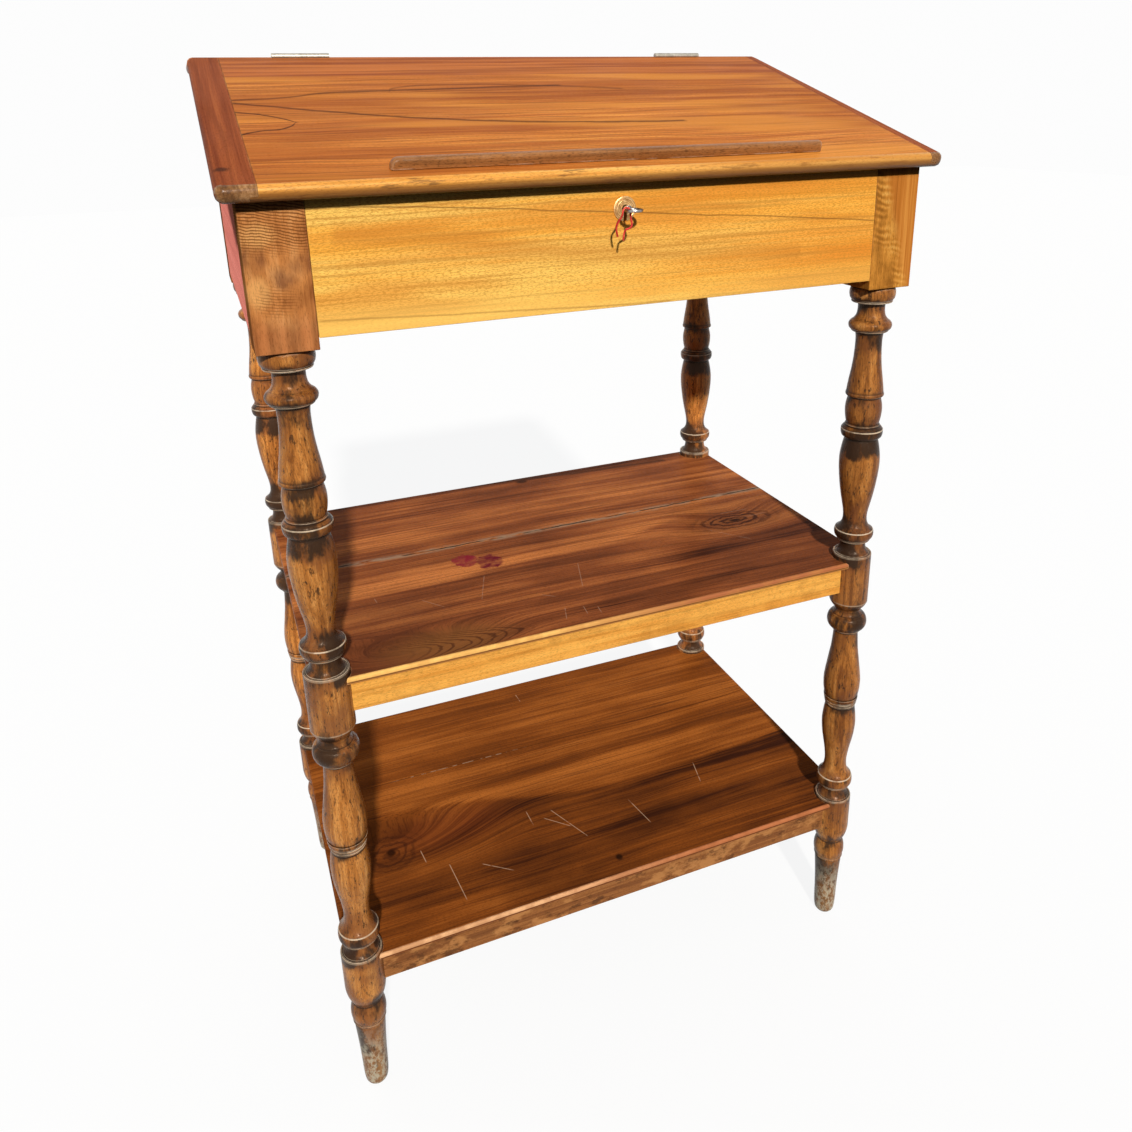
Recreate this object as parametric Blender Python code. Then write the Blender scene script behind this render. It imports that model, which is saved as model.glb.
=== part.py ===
"""Standing writing lectern: a lockable slope-top case on four turned legs tied by two shelves.

Metres, +Z up, front towards -Y. The origin is on the floor, under the middle of the overall box.
Inside the script, desk coordinates start under the middle of the four legs.
"""

import math

import bmesh
import bpy
from mathutils import Matrix, Vector

# Overall frame of the desk
LEG_SPACING_X = 0.636
LEG_SPACING_Y = 0.404
DESK_HEIGHT = 1.146
CASE_HEIGHT = 0.255
CLEARANCE = 0.0003

# Legs: square block on top, turned below it, a plain drum at each shelf
LEG_BLOCK = 0.054
LEG_SEGMENTS = 16
DRUM_RADIUS = 0.0231
UPPER_DRUM_HEIGHT = 0.0615
LOWER_DRUM_HEIGHT = 0.048
DRUM_RIM = 0.0035

# Shelves and the rails under them
MIDDLE_SHELF_TOP = 0.5546
LOWER_SHELF_TOP = 0.196
SHELF_THICKNESS = 0.008
SHELF_OVERHANG = 0.0169
SHELF_NOSING = 0.0022
NOTCH_STEPS = 10
RAIL_THICKNESS = 0.018
RAIL_HEIGHT = 0.0355
RAIL_HOUSING = 0.005

# Case: panels between the leg blocks, floor on ledger strips
PANEL_THICKNESS = 0.016
PANEL_RISE = 0.0105
TENON_LENGTH = 0.010
TENON_THICKNESS = 0.007
TENON_SHOULDER = 0.018
FLOOR_THICKNESS = 0.008
LEDGER_SIZE = 0.012
EDGE_SOFTENING = 0.0008

# Fixed ledge behind the lid, and the sloping lid
BACK_LEDGE_DEPTH = 0.113
BACK_LEDGE_OVERHANG = 0.012
BACK_LEDGE_THICKNESS = 0.015
LID_SLOPE = math.radians(16.8)
LID_THICKNESS = 0.015
LID_OVERHANG_FRONT = 0.0205
LID_OVERHANG_SIDE = 0.015
LID_BACK_GAP = 0.0006
NOSING_RADIUS = 0.0062
CORNER_RADIUS = 0.008
NOSING_STEPS = 3
CORNER_STEPS = 3
LEFT_CLEAT_WIDTH = 0.033
RIGHT_CLEAT_WIDTH = 0.017
CLEAT_LAP = 0.0066
CLEAT_LIP_THICKNESS = 0.009
BOOK_LEDGE_LENGTH = 0.434
BOOK_LEDGE_DEPTH = 0.010
BOOK_LEDGE_HEIGHT = 0.010
BOOK_LEDGE_FROM_FRONT = 0.0208
BOOK_LEDGE_ROUND = 0.003
BOOK_LEDGE_END_ROUND = 0.008

# Butt hinges let into the edges of lid and ledge
HINGE_LENGTH = 0.0635
HINGE_OFFSET_X = 0.239
HINGE_KNUCKLES = 5
HINGE_AXIS_RISE = 0.0008
BARREL_RADIUS = 0.0034
PIN_RADIUS = 0.0016
PIN_PLAY = 0.0001
LEAF_THICKNESS = 0.0016
LEAF_DROP = 0.0125
LEAF_SCREWS = 3
LEAF_SCREW_PITCH = 0.021
LEAF_SCREW_DROP = 0.0083

# Countersunk screws
SCREW_HEAD_RADIUS = 0.0025
SCREW_SHANK_RADIUS = 0.0013
SCREW_HEAD_HEIGHT = 0.0012
SCREW_LENGTH = 0.012
SCREW_SLOT_WIDTH = 0.0007
SCREW_SLOT_DEPTH = 0.0005
SCREW_SEGMENTS = 8

# Lock, key and escutcheon
KEY_BELOW_RIM = 0.02725
LOCK_WIDTH = 0.046
LOCK_DEPTH = 0.018
LOCK_WALL = 0.0015
LOCK_BELOW_KEY = 0.018
LOCK_PLATE_FLANGE = 0.010
LOCK_LID_GAP = 0.0008
KEYHOLE_SLOT_WIDTH = 0.0032
KEYHOLE_SLOT_LENGTH = 0.0125
ESCUTCHEON_RADIUS = 0.0115
ESCUTCHEON_THICKNESS = 0.0022
KEY_SHANK_RADIUS = 0.0027
KEY_PLAY = 0.0006
KEY_BIT_REACH = 0.009
KEY_BIT_WIDTH = 0.006
KEY_BIT_THICKNESS = 0.002
KEY_NECK = 0.0135
BOW_RADIUS = 0.0074
BOW_WIRE_RADIUS = 0.0016
BOLT_THICKNESS = 0.0026
BOLT_HEIGHT = 0.0045
BOLT_THROW = 0.006
BOLT_TAB_WIDTH = 0.004
BOLT_TAB_CLEAR_OF_KEY = 0.006
STRIKE_LENGTH = 0.040
STRIKE_WIDTH = 0.014
STRIKE_THICKNESS = 0.0015
STRIKE_SCREW_PITCH = 0.030
TONGUE_X = -0.0125
TONGUE_THICKNESS = 0.0025
TONGUE_WIDTH = 0.008
TONGUE_EYE_WIDTH = 0.0046
TONGUE_EYE_HEIGHT = 0.0066
TONGUE_BELOW_EYE = 0.002
TONGUE_SWING = 0.0014

# Ribbon cord over the key's bow; each run is a length and a turn in degrees
RIBBON_RADIUS = 0.0009
RIBBON_BEND = 0.00375
RIBBON_LOOP = 0.0043
RIBBON_LOOP_TURN = 102
RIBBON_RETURN_TURN = 76
RIBBON_STEP = 0.002
RIBBON_LEFT_RUNS = ((0.005, -36), (0.005, 0), (0.008, 46), (0.006, 4))
RIBBON_LEFT_DEPTH = 0.0009
RIBBON_FALL = (0.010, 12)
RIBBON_RIGHT_TAIL = (0.007, 10)
RIBBON_RIGHT_DEPTH = -0.0025

# Turned outlines: each member is a run of (radius, drop below the section's top)
UPPER_TURNING = (
    ((0.0215, 0.0), (0.0248, 0.0045), (0.0252, 0.0095), (0.0220, 0.0163), (0.0214, 0.0186)),
    ((0.0152, 0.0205), (0.0150, 0.0285), (0.0180, 0.0365), (0.0228, 0.0422)),
    ((0.0239, 0.0455), (0.0224, 0.0495), (0.0162, 0.0532)),
    ((0.0148, 0.0640), (0.0159, 0.0870), (0.0188, 0.1074), (0.0213, 0.1275)),
    ((0.0190, 0.1300), (0.0190, 0.1330)),
    ((0.0209, 0.1430), (0.0203, 0.1530), (0.0184, 0.1620), (0.0194, 0.1645)),
    ((0.0225, 0.1690), (0.0237, 0.1735), (0.0224, 0.1780)),
    ((0.0184, 0.1802), (0.0218, 0.1950), (0.0234, 0.2085), (0.0213, 0.2344)),
    ((0.0156, 0.2660), (0.0140, 0.2790), (0.0150, 0.2885)),
    ((0.0227, 0.2990), (0.0231, 0.3038), (0.0188, 0.3115)),
    ((0.0150, 0.3138), (0.0151, 0.3195), (0.0222, 0.3305)),
)
MIDDLE_TURNING = (
    ((0.0222, 0.0015), (0.0200, 0.0058), (0.0166, 0.0095), (0.0158, 0.0140)),
    ((0.0186, 0.0185), (0.0228, 0.0232), (0.0241, 0.0290), (0.0228, 0.0350), (0.0172, 0.0412)),
    ((0.0152, 0.0460), (0.0184, 0.0810), (0.0216, 0.1040), (0.0229, 0.1190), (0.0203, 0.1395)),
    ((0.0205, 0.1420), (0.0205, 0.1475)),
    ((0.0190, 0.1490), (0.0190, 0.1520)),
    ((0.0182, 0.1545), (0.0206, 0.1680), (0.0213, 0.1790), (0.0183, 0.2050)),
    ((0.0159, 0.2190), (0.0140, 0.2390), (0.0148, 0.2520)),
    ((0.0221, 0.2650), (0.0228, 0.2705), (0.0202, 0.2778)),
    ((0.0157, 0.2800), (0.0157, 0.2860), (0.0218, 0.2965)),
)
FOOT_TURNING = (
    ((0.0224, 0.0020), (0.0208, 0.0110), (0.0172, 0.0212), (0.0167, 0.0238)),
    ((0.0194, 0.0330), (0.0199, 0.0420), (0.0186, 0.0515)),
    ((0.0168, 0.0530), (0.0175, 0.0558)),
    ((0.0160, 0.0833), (0.0146, 0.1190), (0.0138, 0.1400), (0.0127, 0.1470), (0.0106, 0.1500)),
)
UPPER_SPAN = 0.3325
MIDDLE_SPAN = 0.2990
FOOT_SPAN = 0.1500

# Places that follow from the sizes above, in desk coordinates
LEG_BLOCK_BOTTOM = DESK_HEIGHT - CASE_HEIGHT
CASE_HALF_X = (LEG_SPACING_X + LEG_BLOCK) / 2
CASE_HALF_Y = (LEG_SPACING_Y + LEG_BLOCK) / 2
BAY_HALF_X = (LEG_SPACING_X - LEG_BLOCK) / 2
BAY_HALF_Y = (LEG_SPACING_Y - LEG_BLOCK) / 2
PANEL_BOTTOM = LEG_BLOCK_BOTTOM + PANEL_RISE
FLOOR_BOTTOM = PANEL_BOTTOM + LEDGER_SIZE + 2 * CLEARANCE
HINGE_Y = CASE_HALF_Y + BACK_LEDGE_OVERHANG - BACK_LEDGE_DEPTH
HINGE_AXIS = Vector((0, HINGE_Y, DESK_HEIGHT + HINGE_AXIS_RISE))
LID_HALF_X = CASE_HALF_X + LID_OVERHANG_SIDE
LID_LENGTH = (HINGE_Y + CASE_HALF_Y + LID_OVERHANG_FRONT) / math.cos(LID_SLOPE)
LEDGE_UNDERSIDE = DESK_HEIGHT - BACK_LEDGE_THICKNESS
BOARD_LEFT = -LID_HALF_X + LEFT_CLEAT_WIDTH
BOARD_RIGHT = LID_HALF_X - RIGHT_CLEAT_WIDTH
PANEL_INSIDE_Y = -CASE_HALF_Y + PANEL_THICKNESS
LOCK_FRONT_Y = PANEL_INSIDE_Y + CLEARANCE
LOCK_CASE_FRONT_Y = LOCK_FRONT_Y + LOCK_WALL + CLEARANCE
BOLT_Y = LOCK_CASE_FRONT_Y + (LOCK_DEPTH - LOCK_WALL) / 2
BOW_OUT = KEY_NECK + BOW_RADIUS
KEY_REACH = BOW_OUT + BOW_RADIUS + BOW_WIRE_RADIUS
DESK_ORIGIN = Vector((0, (KEY_REACH - BACK_LEDGE_OVERHANG) / 2, 0))


def lid_underside(y):
    """Height of the closed lid's underside at a place from front to back."""
    top = DESK_HEIGHT - (HINGE_Y - y) * math.tan(LID_SLOPE)
    return top - LID_THICKNESS / math.cos(LID_SLOPE)


def case_top(y):
    """Height of the case's sloping rim, just under the lid."""
    return lid_underside(y) - CLEARANCE


KEY_HEIGHT = case_top(-CASE_HALF_Y) - KEY_BELOW_RIM
KEY_AXIS = Vector((0, -CASE_HALF_Y, KEY_HEIGHT))
LOCK_TOP = case_top(LOCK_FRONT_Y) - LOCK_LID_GAP
BOLT_TOP = LOCK_TOP - LOCK_WALL - CLEARANCE
BOLT_Z = BOLT_TOP - BOLT_HEIGHT / 2


def clear_scene():
    for obj in list(bpy.data.objects):
        bpy.data.objects.remove(obj, do_unlink=True)


def make_material(name, colour, roughness, metallic=0.0):
    material = bpy.data.materials.new(name)
    material.use_nodes = True
    shader = material.node_tree.nodes["Principled BSDF"]
    shader.inputs["Base Color"].default_value = (*colour, 1.0)
    shader.inputs["Roughness"].default_value = roughness
    shader.inputs["Metallic"].default_value = metallic
    return material


def make_empty(name, location, parent=None):
    empty = bpy.data.objects.new(name, None)
    bpy.context.scene.collection.objects.link(empty)
    empty.parent = parent
    empty.location = location
    return empty


def add_object(name, bm, material, parent, location=(0, 0, 0), turn=(0, 0, 0), smooth_angle=None):
    """Turn a bmesh into a named object under its parent."""
    mesh = bpy.data.meshes.new(name)
    bm.to_mesh(mesh)
    bm.free()
    if material:
        mesh.materials.append(material)
    if smooth_angle:
        mesh.shade_smooth()
        mesh.set_sharp_from_angle(angle=smooth_angle)
    obj = bpy.data.objects.new(name, mesh)
    bpy.context.scene.collection.objects.link(obj)
    obj.parent = parent
    obj.location = location
    obj.rotation_euler = turn
    return obj


def combine(obj, bm, label, operation="DIFFERENCE"):
    """Cut a tool mesh, given in the object's own coordinates, out of the object, or join it on."""
    tool = add_object(obj.name + "." + label, bm, None, obj)
    tool.hide_render = True
    tool.display_type = "WIRE"
    modifier = obj.modifiers.new(label, "BOOLEAN")
    modifier.operation = operation
    modifier.solver = "EXACT"
    modifier.object = tool
    return obj


def box_mesh(*boxes):
    """Separate boxes, each given by its low and high corner."""
    bm = bmesh.new()
    for low, high in boxes:
        low, high = Vector(low), Vector(high)
        place = Matrix.Translation((low + high) / 2) @ Matrix.Diagonal((*(high - low), 1.0))
        bmesh.ops.create_cube(bm, size=1.0, matrix=place)
    return bm


def prism_mesh(outline, along, bm=None):
    """Extrude a flat outline along a vector into a closed solid."""
    bm = bm or bmesh.new()
    face = bm.faces.new([bm.verts.new(point) for point in outline])
    grown = bmesh.ops.extrude_face_region(bm, geom=[face])["geom"]
    moved = [item for item in grown if isinstance(item, bmesh.types.BMVert)]
    bmesh.ops.translate(bm, verts=moved, vec=along)
    bmesh.ops.recalc_face_normals(bm, faces=bm.faces)
    return bm


def lathe_mesh(profile, segments, bm=None, place=Matrix()):
    """Spin (radius, height) points about Z into a closed solid, then put it in its place."""
    bm = bm or bmesh.new()
    standing = set(bm.verts)
    ends = [(0.0, profile[0][1]), *profile, (0.0, profile[-1][1])]
    verts = [bm.verts.new((radius, 0, height)) for radius, height in ends]
    edges = [bm.edges.new(pair) for pair in zip(verts, verts[1:])]
    bmesh.ops.spin(
        bm, geom=verts + edges, cent=(0, 0, 0), axis=(0, 0, 1), angle=2 * math.pi, steps=segments, use_merge=True
    )
    made = [vert for vert in bm.verts if vert not in standing]
    bmesh.ops.remove_doubles(bm, verts=made, dist=1e-6)
    made = [vert for vert in bm.verts if vert not in standing]
    bmesh.ops.transform(bm, matrix=place, verts=made)
    bmesh.ops.recalc_face_normals(bm, faces=bm.faces)
    return bm


def cylinder_mesh(radius, start, along, segments=16, bm=None):
    """Closed cylinder from a start point along a vector."""
    along = Vector(along)
    outline = []
    turn = Vector((0, 0, 1)).rotation_difference(along).to_matrix()
    for step in range(segments):
        angle = 2 * math.pi * (step + 0.5) / segments
        outline.append(Vector(start) + turn @ Vector((radius * math.cos(angle), radius * math.sin(angle), 0)))
    return prism_mesh(outline, along, bm)


def arc(centre, radius, start, stop, steps):
    """Points on a flat arc, angles in radians."""
    angles = [start + (stop - start) * step / steps for step in range(steps + 1)]
    return [(centre[0] + radius * math.cos(a), centre[1] + radius * math.sin(a)) for a in angles]


def bevel_edges(bm, edges, width, segments):
    bmesh.ops.bevel(
        bm, geom=edges, offset=width, segments=segments, profile=0.5, affect="EDGES", clamp_overlap=True
    )
    bmesh.ops.recalc_face_normals(bm, faces=bm.faces)


def soft_box(low, high):
    """A board with slightly eased edges."""
    bm = box_mesh((low, high))
    bevel_edges(bm, bm.edges[:], EDGE_SOFTENING, 1)
    return bm


def drum_top(shelf_top):
    return shelf_top + DRUM_RIM


def leg_profile():
    """Radius and height of the turned part, from inside the block down to the floor."""
    upper_drum = drum_top(MIDDLE_SHELF_TOP)
    lower_drum = drum_top(LOWER_SHELF_TOP)
    sections = (
        (UPPER_TURNING, UPPER_SPAN, LEG_BLOCK_BOTTOM, upper_drum),
        (MIDDLE_TURNING, MIDDLE_SPAN, upper_drum - UPPER_DRUM_HEIGHT, lower_drum),
        (FOOT_TURNING, FOOT_SPAN, lower_drum - LOWER_DRUM_HEIGHT, 0.0),
    )
    profile = [(UPPER_TURNING[0][0][0], LEG_BLOCK_BOTTOM + LEG_BLOCK / 4)]
    for members, drawn_span, top, bottom in sections:
        stretch = (top - bottom) / drawn_span
        if top < LEG_BLOCK_BOTTOM:
            profile.append((DRUM_RADIUS, top))
        for member in members:
            profile += [(radius, top - drop * stretch) for radius, drop in member]
        if bottom > 0:
            profile.append((DRUM_RADIUS, bottom))
    return profile


def rail_span(shelf_top):
    """Bottom and top of the rails under a shelf."""
    top = shelf_top - SHELF_THICKNESS - CLEARANCE
    return top - RAIL_HEIGHT, top


def leg_pockets(side_x, side_y):
    """Housings in one leg for the rails and the panel tenons, in the leg's own coordinates."""
    inward = Vector((-side_x, -side_y))
    boxes = []
    half = RAIL_THICKNESS / 2 + CLEARANCE
    near = DRUM_RADIUS - RAIL_HOUSING
    for shelf_top in (MIDDLE_SHELF_TOP, LOWER_SHELF_TOP):
        low, high = rail_span(shelf_top)
        low, high = low - CLEARANCE, high + CLEARANCE
        boxes.append(ordered((inward.x * near, -half, low), (inward.x * LEG_BLOCK, half, high)))
        boxes.append(ordered((-half, inward.y * near, low), (half, inward.y * LEG_BLOCK, high)))
    depth = LEG_BLOCK / 2 - TENON_LENGTH - CLEARANCE
    centre = LEG_BLOCK / 2 - PANEL_THICKNESS / 2
    half = TENON_THICKNESS / 2 + CLEARANCE
    low, long_high, cross_high = tenon_heights(side_y)
    low -= CLEARANCE
    across = (side_y * centre - half, side_y * centre + half)
    boxes.append(
        ordered((inward.x * depth, across[0], low), (inward.x * LEG_BLOCK, across[1], long_high + CLEARANCE))
    )
    across = (side_x * centre - half, side_x * centre + half)
    boxes.append(
        ordered((across[0], inward.y * depth, low), (across[1], inward.y * LEG_BLOCK, cross_high + CLEARANCE))
    )
    return boxes


def ordered(one, other):
    """Low and high corner of the box between two corners."""
    pairs = list(zip(one, other))
    return [min(pair) for pair in pairs], [max(pair) for pair in pairs]


def tenon_heights(side_y):
    """Bottom of a panel's tenons, top of the front or back panel's, and top of the side panel's."""
    low = PANEL_BOTTOM + TENON_SHOULDER
    if side_y < 0:
        return low, case_top(-CASE_HALF_Y) - TENON_SHOULDER, case_top(-CASE_HALF_Y) - TENON_SHOULDER
    back = LEDGE_UNDERSIDE - CLEARANCE - TENON_SHOULDER
    return low, back, back


def leg_block_outline(side_x, side_y):
    """Side outline of the square block: its top follows the lid in front and the ledge at the back."""
    half = LEG_BLOCK / 2
    axis_y = side_y * LEG_SPACING_Y / 2
    if side_y < 0:
        tops = case_top(axis_y - half), case_top(axis_y + half)
    else:
        tops = (LEDGE_UNDERSIDE - CLEARANCE,) * 2
    x = -half
    return [
        Vector((x, -half, LEG_BLOCK_BOTTOM)),
        Vector((x, half, LEG_BLOCK_BOTTOM)),
        Vector((x, half, tops[1])),
        Vector((x, -half, tops[0])),
    ]


def make_legs(wood, desk):
    for side_y, depth_name in ((-1, "front"), (1, "back")):
        for side_x, side_name in ((-1, "left"), (1, "right")):
            place = (side_x * LEG_SPACING_X / 2, side_y * LEG_SPACING_Y / 2, 0)
            name = "leg_" + depth_name + "_" + side_name
            turned = lathe_mesh(leg_profile(), LEG_SEGMENTS)
            leg = add_object(name, turned, wood, desk, place, smooth_angle=math.radians(38))
            block = prism_mesh(leg_block_outline(side_x, side_y), (LEG_BLOCK, 0, 0))
            combine(leg, block, "block", "UNION")
            combine(leg, box_mesh(*leg_pockets(side_x, side_y)), "housings")


def shelf_outline(height):
    """Rectangle with its corners cut back round the four drums."""
    reach = DRUM_RADIUS + CLEARANCE
    bite = math.asin(SHELF_OVERHANG / reach)
    half_step = (math.pi / 4 + bite) / NOTCH_STEPS
    outer_reach = reach / math.cos(half_step)
    outline = []
    for side_x, side_y, quarter in ((-1, -1, 0), (1, -1, 1), (1, 1, 2), (-1, 1, 3)):
        centre = (side_x * LEG_SPACING_X / 2, side_y * LEG_SPACING_Y / 2)
        turn = quarter * math.pi / 2
        start, stop = math.pi / 2 + bite + turn, -bite + turn
        outline += [Vector((*point, height)) for point in arc(centre, outer_reach, start, stop, NOTCH_STEPS)]
    return outline


def make_shelf(name, top, wood, desk):
    """Thin shelf board notched round the legs, with a rounded nosing on its straight edges."""
    bm = prism_mesh(shelf_outline(top - SHELF_THICKNESS), (0, 0, SHELF_THICKNESS))
    limit = LEG_SPACING_Y / 2
    straight = [
        edge for edge in bm.edges
        if abs(edge.verts[0].co.z - edge.verts[1].co.z) < 1e-6 and edge.calc_length() > limit
    ]
    bevel_edges(bm, straight, SHELF_NOSING, 2)
    add_object(name, bm, wood, desk, smooth_angle=math.radians(50))


def make_rails(level, shelf_top, wood, desk):
    """Four rails under a shelf, their ends housed in the drums."""
    low, high = rail_span(shelf_top)
    inset = DRUM_RADIUS - RAIL_HOUSING + CLEARANCE
    end_x = LEG_SPACING_X / 2 - inset
    end_y = LEG_SPACING_Y / 2 - inset
    half = RAIL_THICKNESS / 2
    for side, label in ((-1, "front"), (1, "back")):
        y = side * LEG_SPACING_Y / 2
        bm = soft_box((-end_x, y - half, low), (end_x, y + half, high))
        add_object(level + "_rail_" + label, bm, wood, desk)
    for side, label in ((-1, "left"), (1, "right")):
        x = side * LEG_SPACING_X / 2
        bm = soft_box((x - half, -end_y, low), (x + half, end_y, high))
        add_object(level + "_rail_" + label, bm, wood, desk)


def make_front_panel(wood, desk):
    """Front board with a sloping top, tenoned into the front blocks, with its keyhole."""
    end = BAY_HALF_X - CLEARANCE
    low, top, _ = tenon_heights(-1)
    outer, inner = -CASE_HALF_Y, PANEL_INSIDE_Y
    outline = [
        Vector((-end, outer, PANEL_BOTTOM)),
        Vector((-end, inner, PANEL_BOTTOM)),
        Vector((-end, inner, case_top(inner))),
        Vector((-end, outer, case_top(outer))),
    ]
    bm = prism_mesh(outline, (2 * end, 0, 0))
    bevel_edges(bm, bm.edges[:], EDGE_SOFTENING / 2, 1)
    panel = add_object("front_panel", bm, wood, desk)
    centre = (outer + inner) / 2
    combine(panel, end_tenons(end, centre, low, top), "tenons", "UNION")
    depth = PANEL_THICKNESS * 2
    start = outer - PANEL_THICKNESS / 2
    combine(panel, keyhole_mesh(KEY_AXIS, start, depth, KEY_PLAY * 2), "keyhole")
    holes = bmesh.new()
    for x, z in lock_screw_places():
        drill(holes, (x, PANEL_INSIDE_Y, z), (0, -1, 0), screw_sink=LOCK_WALL)
    combine(panel, holes, "screw_holes")


def end_tenons(end, centre, low, high):
    """Tenons at both ends of a board that runs along X."""
    half = TENON_THICKNESS / 2
    reach = end + TENON_LENGTH
    root = end - TENON_LENGTH
    return box_mesh(
        ((-reach, centre - half, low), (-root, centre + half, high)),
        ((root, centre - half, low), (reach, centre + half, high)),
    )


def make_back_panel(wood, desk):
    end = BAY_HALF_X - CLEARANCE
    low, top, _ = tenon_heights(1)
    inner, outer = CASE_HALF_Y - PANEL_THICKNESS, CASE_HALF_Y
    bm = soft_box((-end, inner, PANEL_BOTTOM), (end, outer, LEDGE_UNDERSIDE - CLEARANCE))
    panel = add_object("back_panel", bm, wood, desk)
    combine(panel, end_tenons(end, (inner + outer) / 2, low, top), "tenons", "UNION")


def make_side_panels(wood, desk):
    """Side boards: the top slopes under the lid and lies flat under the ledge."""
    end = BAY_HALF_Y - CLEARANCE
    flat = LEDGE_UNDERSIDE - CLEARANCE
    kink = HINGE_Y + (flat - case_top(HINGE_Y)) / math.tan(LID_SLOPE)
    half = TENON_THICKNESS / 2
    for side, label in ((-1, "left"), (1, "right")):
        x = side * CASE_HALF_X - (PANEL_THICKNESS if side > 0 else 0)
        outline = [
            Vector((x, -end, PANEL_BOTTOM)),
            Vector((x, end, PANEL_BOTTOM)),
            Vector((x, end, flat)),
            Vector((x, kink, flat)),
            Vector((x, -end, case_top(-end))),
        ]
        bm = prism_mesh(outline, (PANEL_THICKNESS, 0, 0))
        bevel_edges(bm, bm.edges[:], EDGE_SOFTENING / 2, 1)
        panel = add_object("side_panel_" + label, bm, wood, desk)
        centre = x + PANEL_THICKNESS / 2
        tenons = []
        for side_y in (-1, 1):
            low, _, high = tenon_heights(side_y)
            root = (centre - half, side_y * (end - TENON_LENGTH), low)
            tip = (centre + half, side_y * (end + TENON_LENGTH), high)
            tenons.append(ordered(root, tip))
        combine(panel, box_mesh(*tenons), "tenons", "UNION")


def make_floor(wood, desk):
    """Case floor, notched round the leg blocks, on four ledger strips."""
    reach_x = CASE_HALF_X - PANEL_THICKNESS - CLEARANCE
    reach_y = CASE_HALF_Y - PANEL_THICKNESS - CLEARANCE
    notch_x = BAY_HALF_X - CLEARANCE
    notch_y = BAY_HALF_Y - CLEARANCE
    outline = []
    for side_x, side_y in ((-1, -1), (1, -1), (1, 1), (-1, 1)):
        corner = [
            (side_x * reach_x, side_y * notch_y),
            (side_x * notch_x, side_y * notch_y),
            (side_x * notch_x, side_y * reach_y),
        ]
        outline += corner if side_x * side_y > 0 else corner[::-1]
    points = [Vector((x, y, FLOOR_BOTTOM)) for x, y in outline]
    add_object("case_floor", prism_mesh(points, (0, 0, FLOOR_THICKNESS)), wood, desk)
    low = PANEL_BOTTOM + CLEARANCE
    high = low + LEDGER_SIZE
    for side, label in ((-1, "front"), (1, "back")):
        span_y = sorted((side * reach_y, side * (reach_y - LEDGER_SIZE)))
        bm = box_mesh(((-notch_x, span_y[0], low), (notch_x, span_y[1], high)))
        add_object("floor_ledger_" + label, bm, wood, desk)
    for side, label in ((-1, "left"), (1, "right")):
        span_x = sorted((side * reach_x, side * (reach_x - LEDGER_SIZE)))
        bm = box_mesh(((span_x[0], -notch_y, low), (span_x[1], notch_y, high)))
        add_object("floor_ledger_" + label, bm, wood, desk)


def nosed_mesh(outline_at, thickness):
    """Slab with a rounded edge: outlines at several depths below its top, stacked and closed."""
    quarter = [step * math.pi / 2 / NOSING_STEPS for step in range(NOSING_STEPS + 1)]
    upper = [(NOSING_RADIUS * (1 - math.sin(a)), NOSING_RADIUS * (1 - math.cos(a))) for a in quarter]
    lower = [(inset, thickness - drop) for inset, drop in reversed(upper)]
    bm = bmesh.new()
    loops = []
    for inset, drop in upper + lower:
        loops.append([bm.verts.new((x, y, -drop)) for x, y in outline_at(inset, drop)])
    for one, other in zip(loops, loops[1:]):
        for index in range(len(one)):
            bm.faces.new((one[index - 1], one[index], other[index], other[index - 1]))
    bm.faces.new(loops[0])
    bm.faces.new(loops[-1])
    bmesh.ops.recalc_face_normals(bm, faces=bm.faces)
    return bm


def corner_points(x, y, side_x, side_y, inset):
    """Rounded outer corner of a slab, from its side round to its front or back."""
    radius = max(CORNER_RADIUS - inset, CORNER_RADIUS / 8)
    centre = (x - side_x * radius, y - side_y * radius)
    start = 0.0 if side_x > 0 else math.pi
    return arc(centre, radius, start, start + side_x * side_y * math.pi / 2, CORNER_STEPS)


def make_back_ledge(wood, desk):
    """Fixed flat board behind the lid, with a rounded edge at its sides and back."""
    front = HINGE_Y + LID_BACK_GAP / 2
    back = CASE_HALF_Y + BACK_LEDGE_OVERHANG

    def outline(inset, drop):
        end = LID_HALF_X - inset
        right = corner_points(end, back - inset, 1, 1, inset)
        left = corner_points(-end, back - inset, -1, 1, inset)
        return [(-end, front), (end, front), *right, *reversed(left)]

    bm = nosed_mesh(outline, BACK_LEDGE_THICKNESS)
    place = Vector((0, 0, DESK_HEIGHT))
    ledge = add_object("back_ledge", bm, wood, desk, place, smooth_angle=math.radians(50))
    cut_hinge_seats(ledge, 1, HINGE_AXIS - place)


def lid_back(drop):
    """Back edge of the lid, upright when the lid is closed, at a depth below its top."""
    return -LID_BACK_GAP / 2 / math.cos(LID_SLOPE) - drop * math.tan(LID_SLOPE)


def board_outline(inset, drop):
    left, right = BOARD_LEFT - CLEAT_LAP, BOARD_RIGHT + CLEAT_LAP
    front = -LID_LENGTH + inset
    return [(left, front), (right, front), (right, lid_back(drop)), (left, lid_back(drop))]


def cleat_outline(side, joint_x):
    """Outline of one end cleat at any depth, its outer end rounded like the lid's front."""

    def outline(inset, drop):
        end = side * (LID_HALF_X - inset)
        front = corner_points(end, -LID_LENGTH + inset, side, -1, inset)
        back = corner_points(end, lid_back(drop), side, 1, inset)
        return [(joint_x, -LID_LENGTH + inset), *reversed(front), *back, (joint_x, lid_back(drop))]

    return outline


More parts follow.
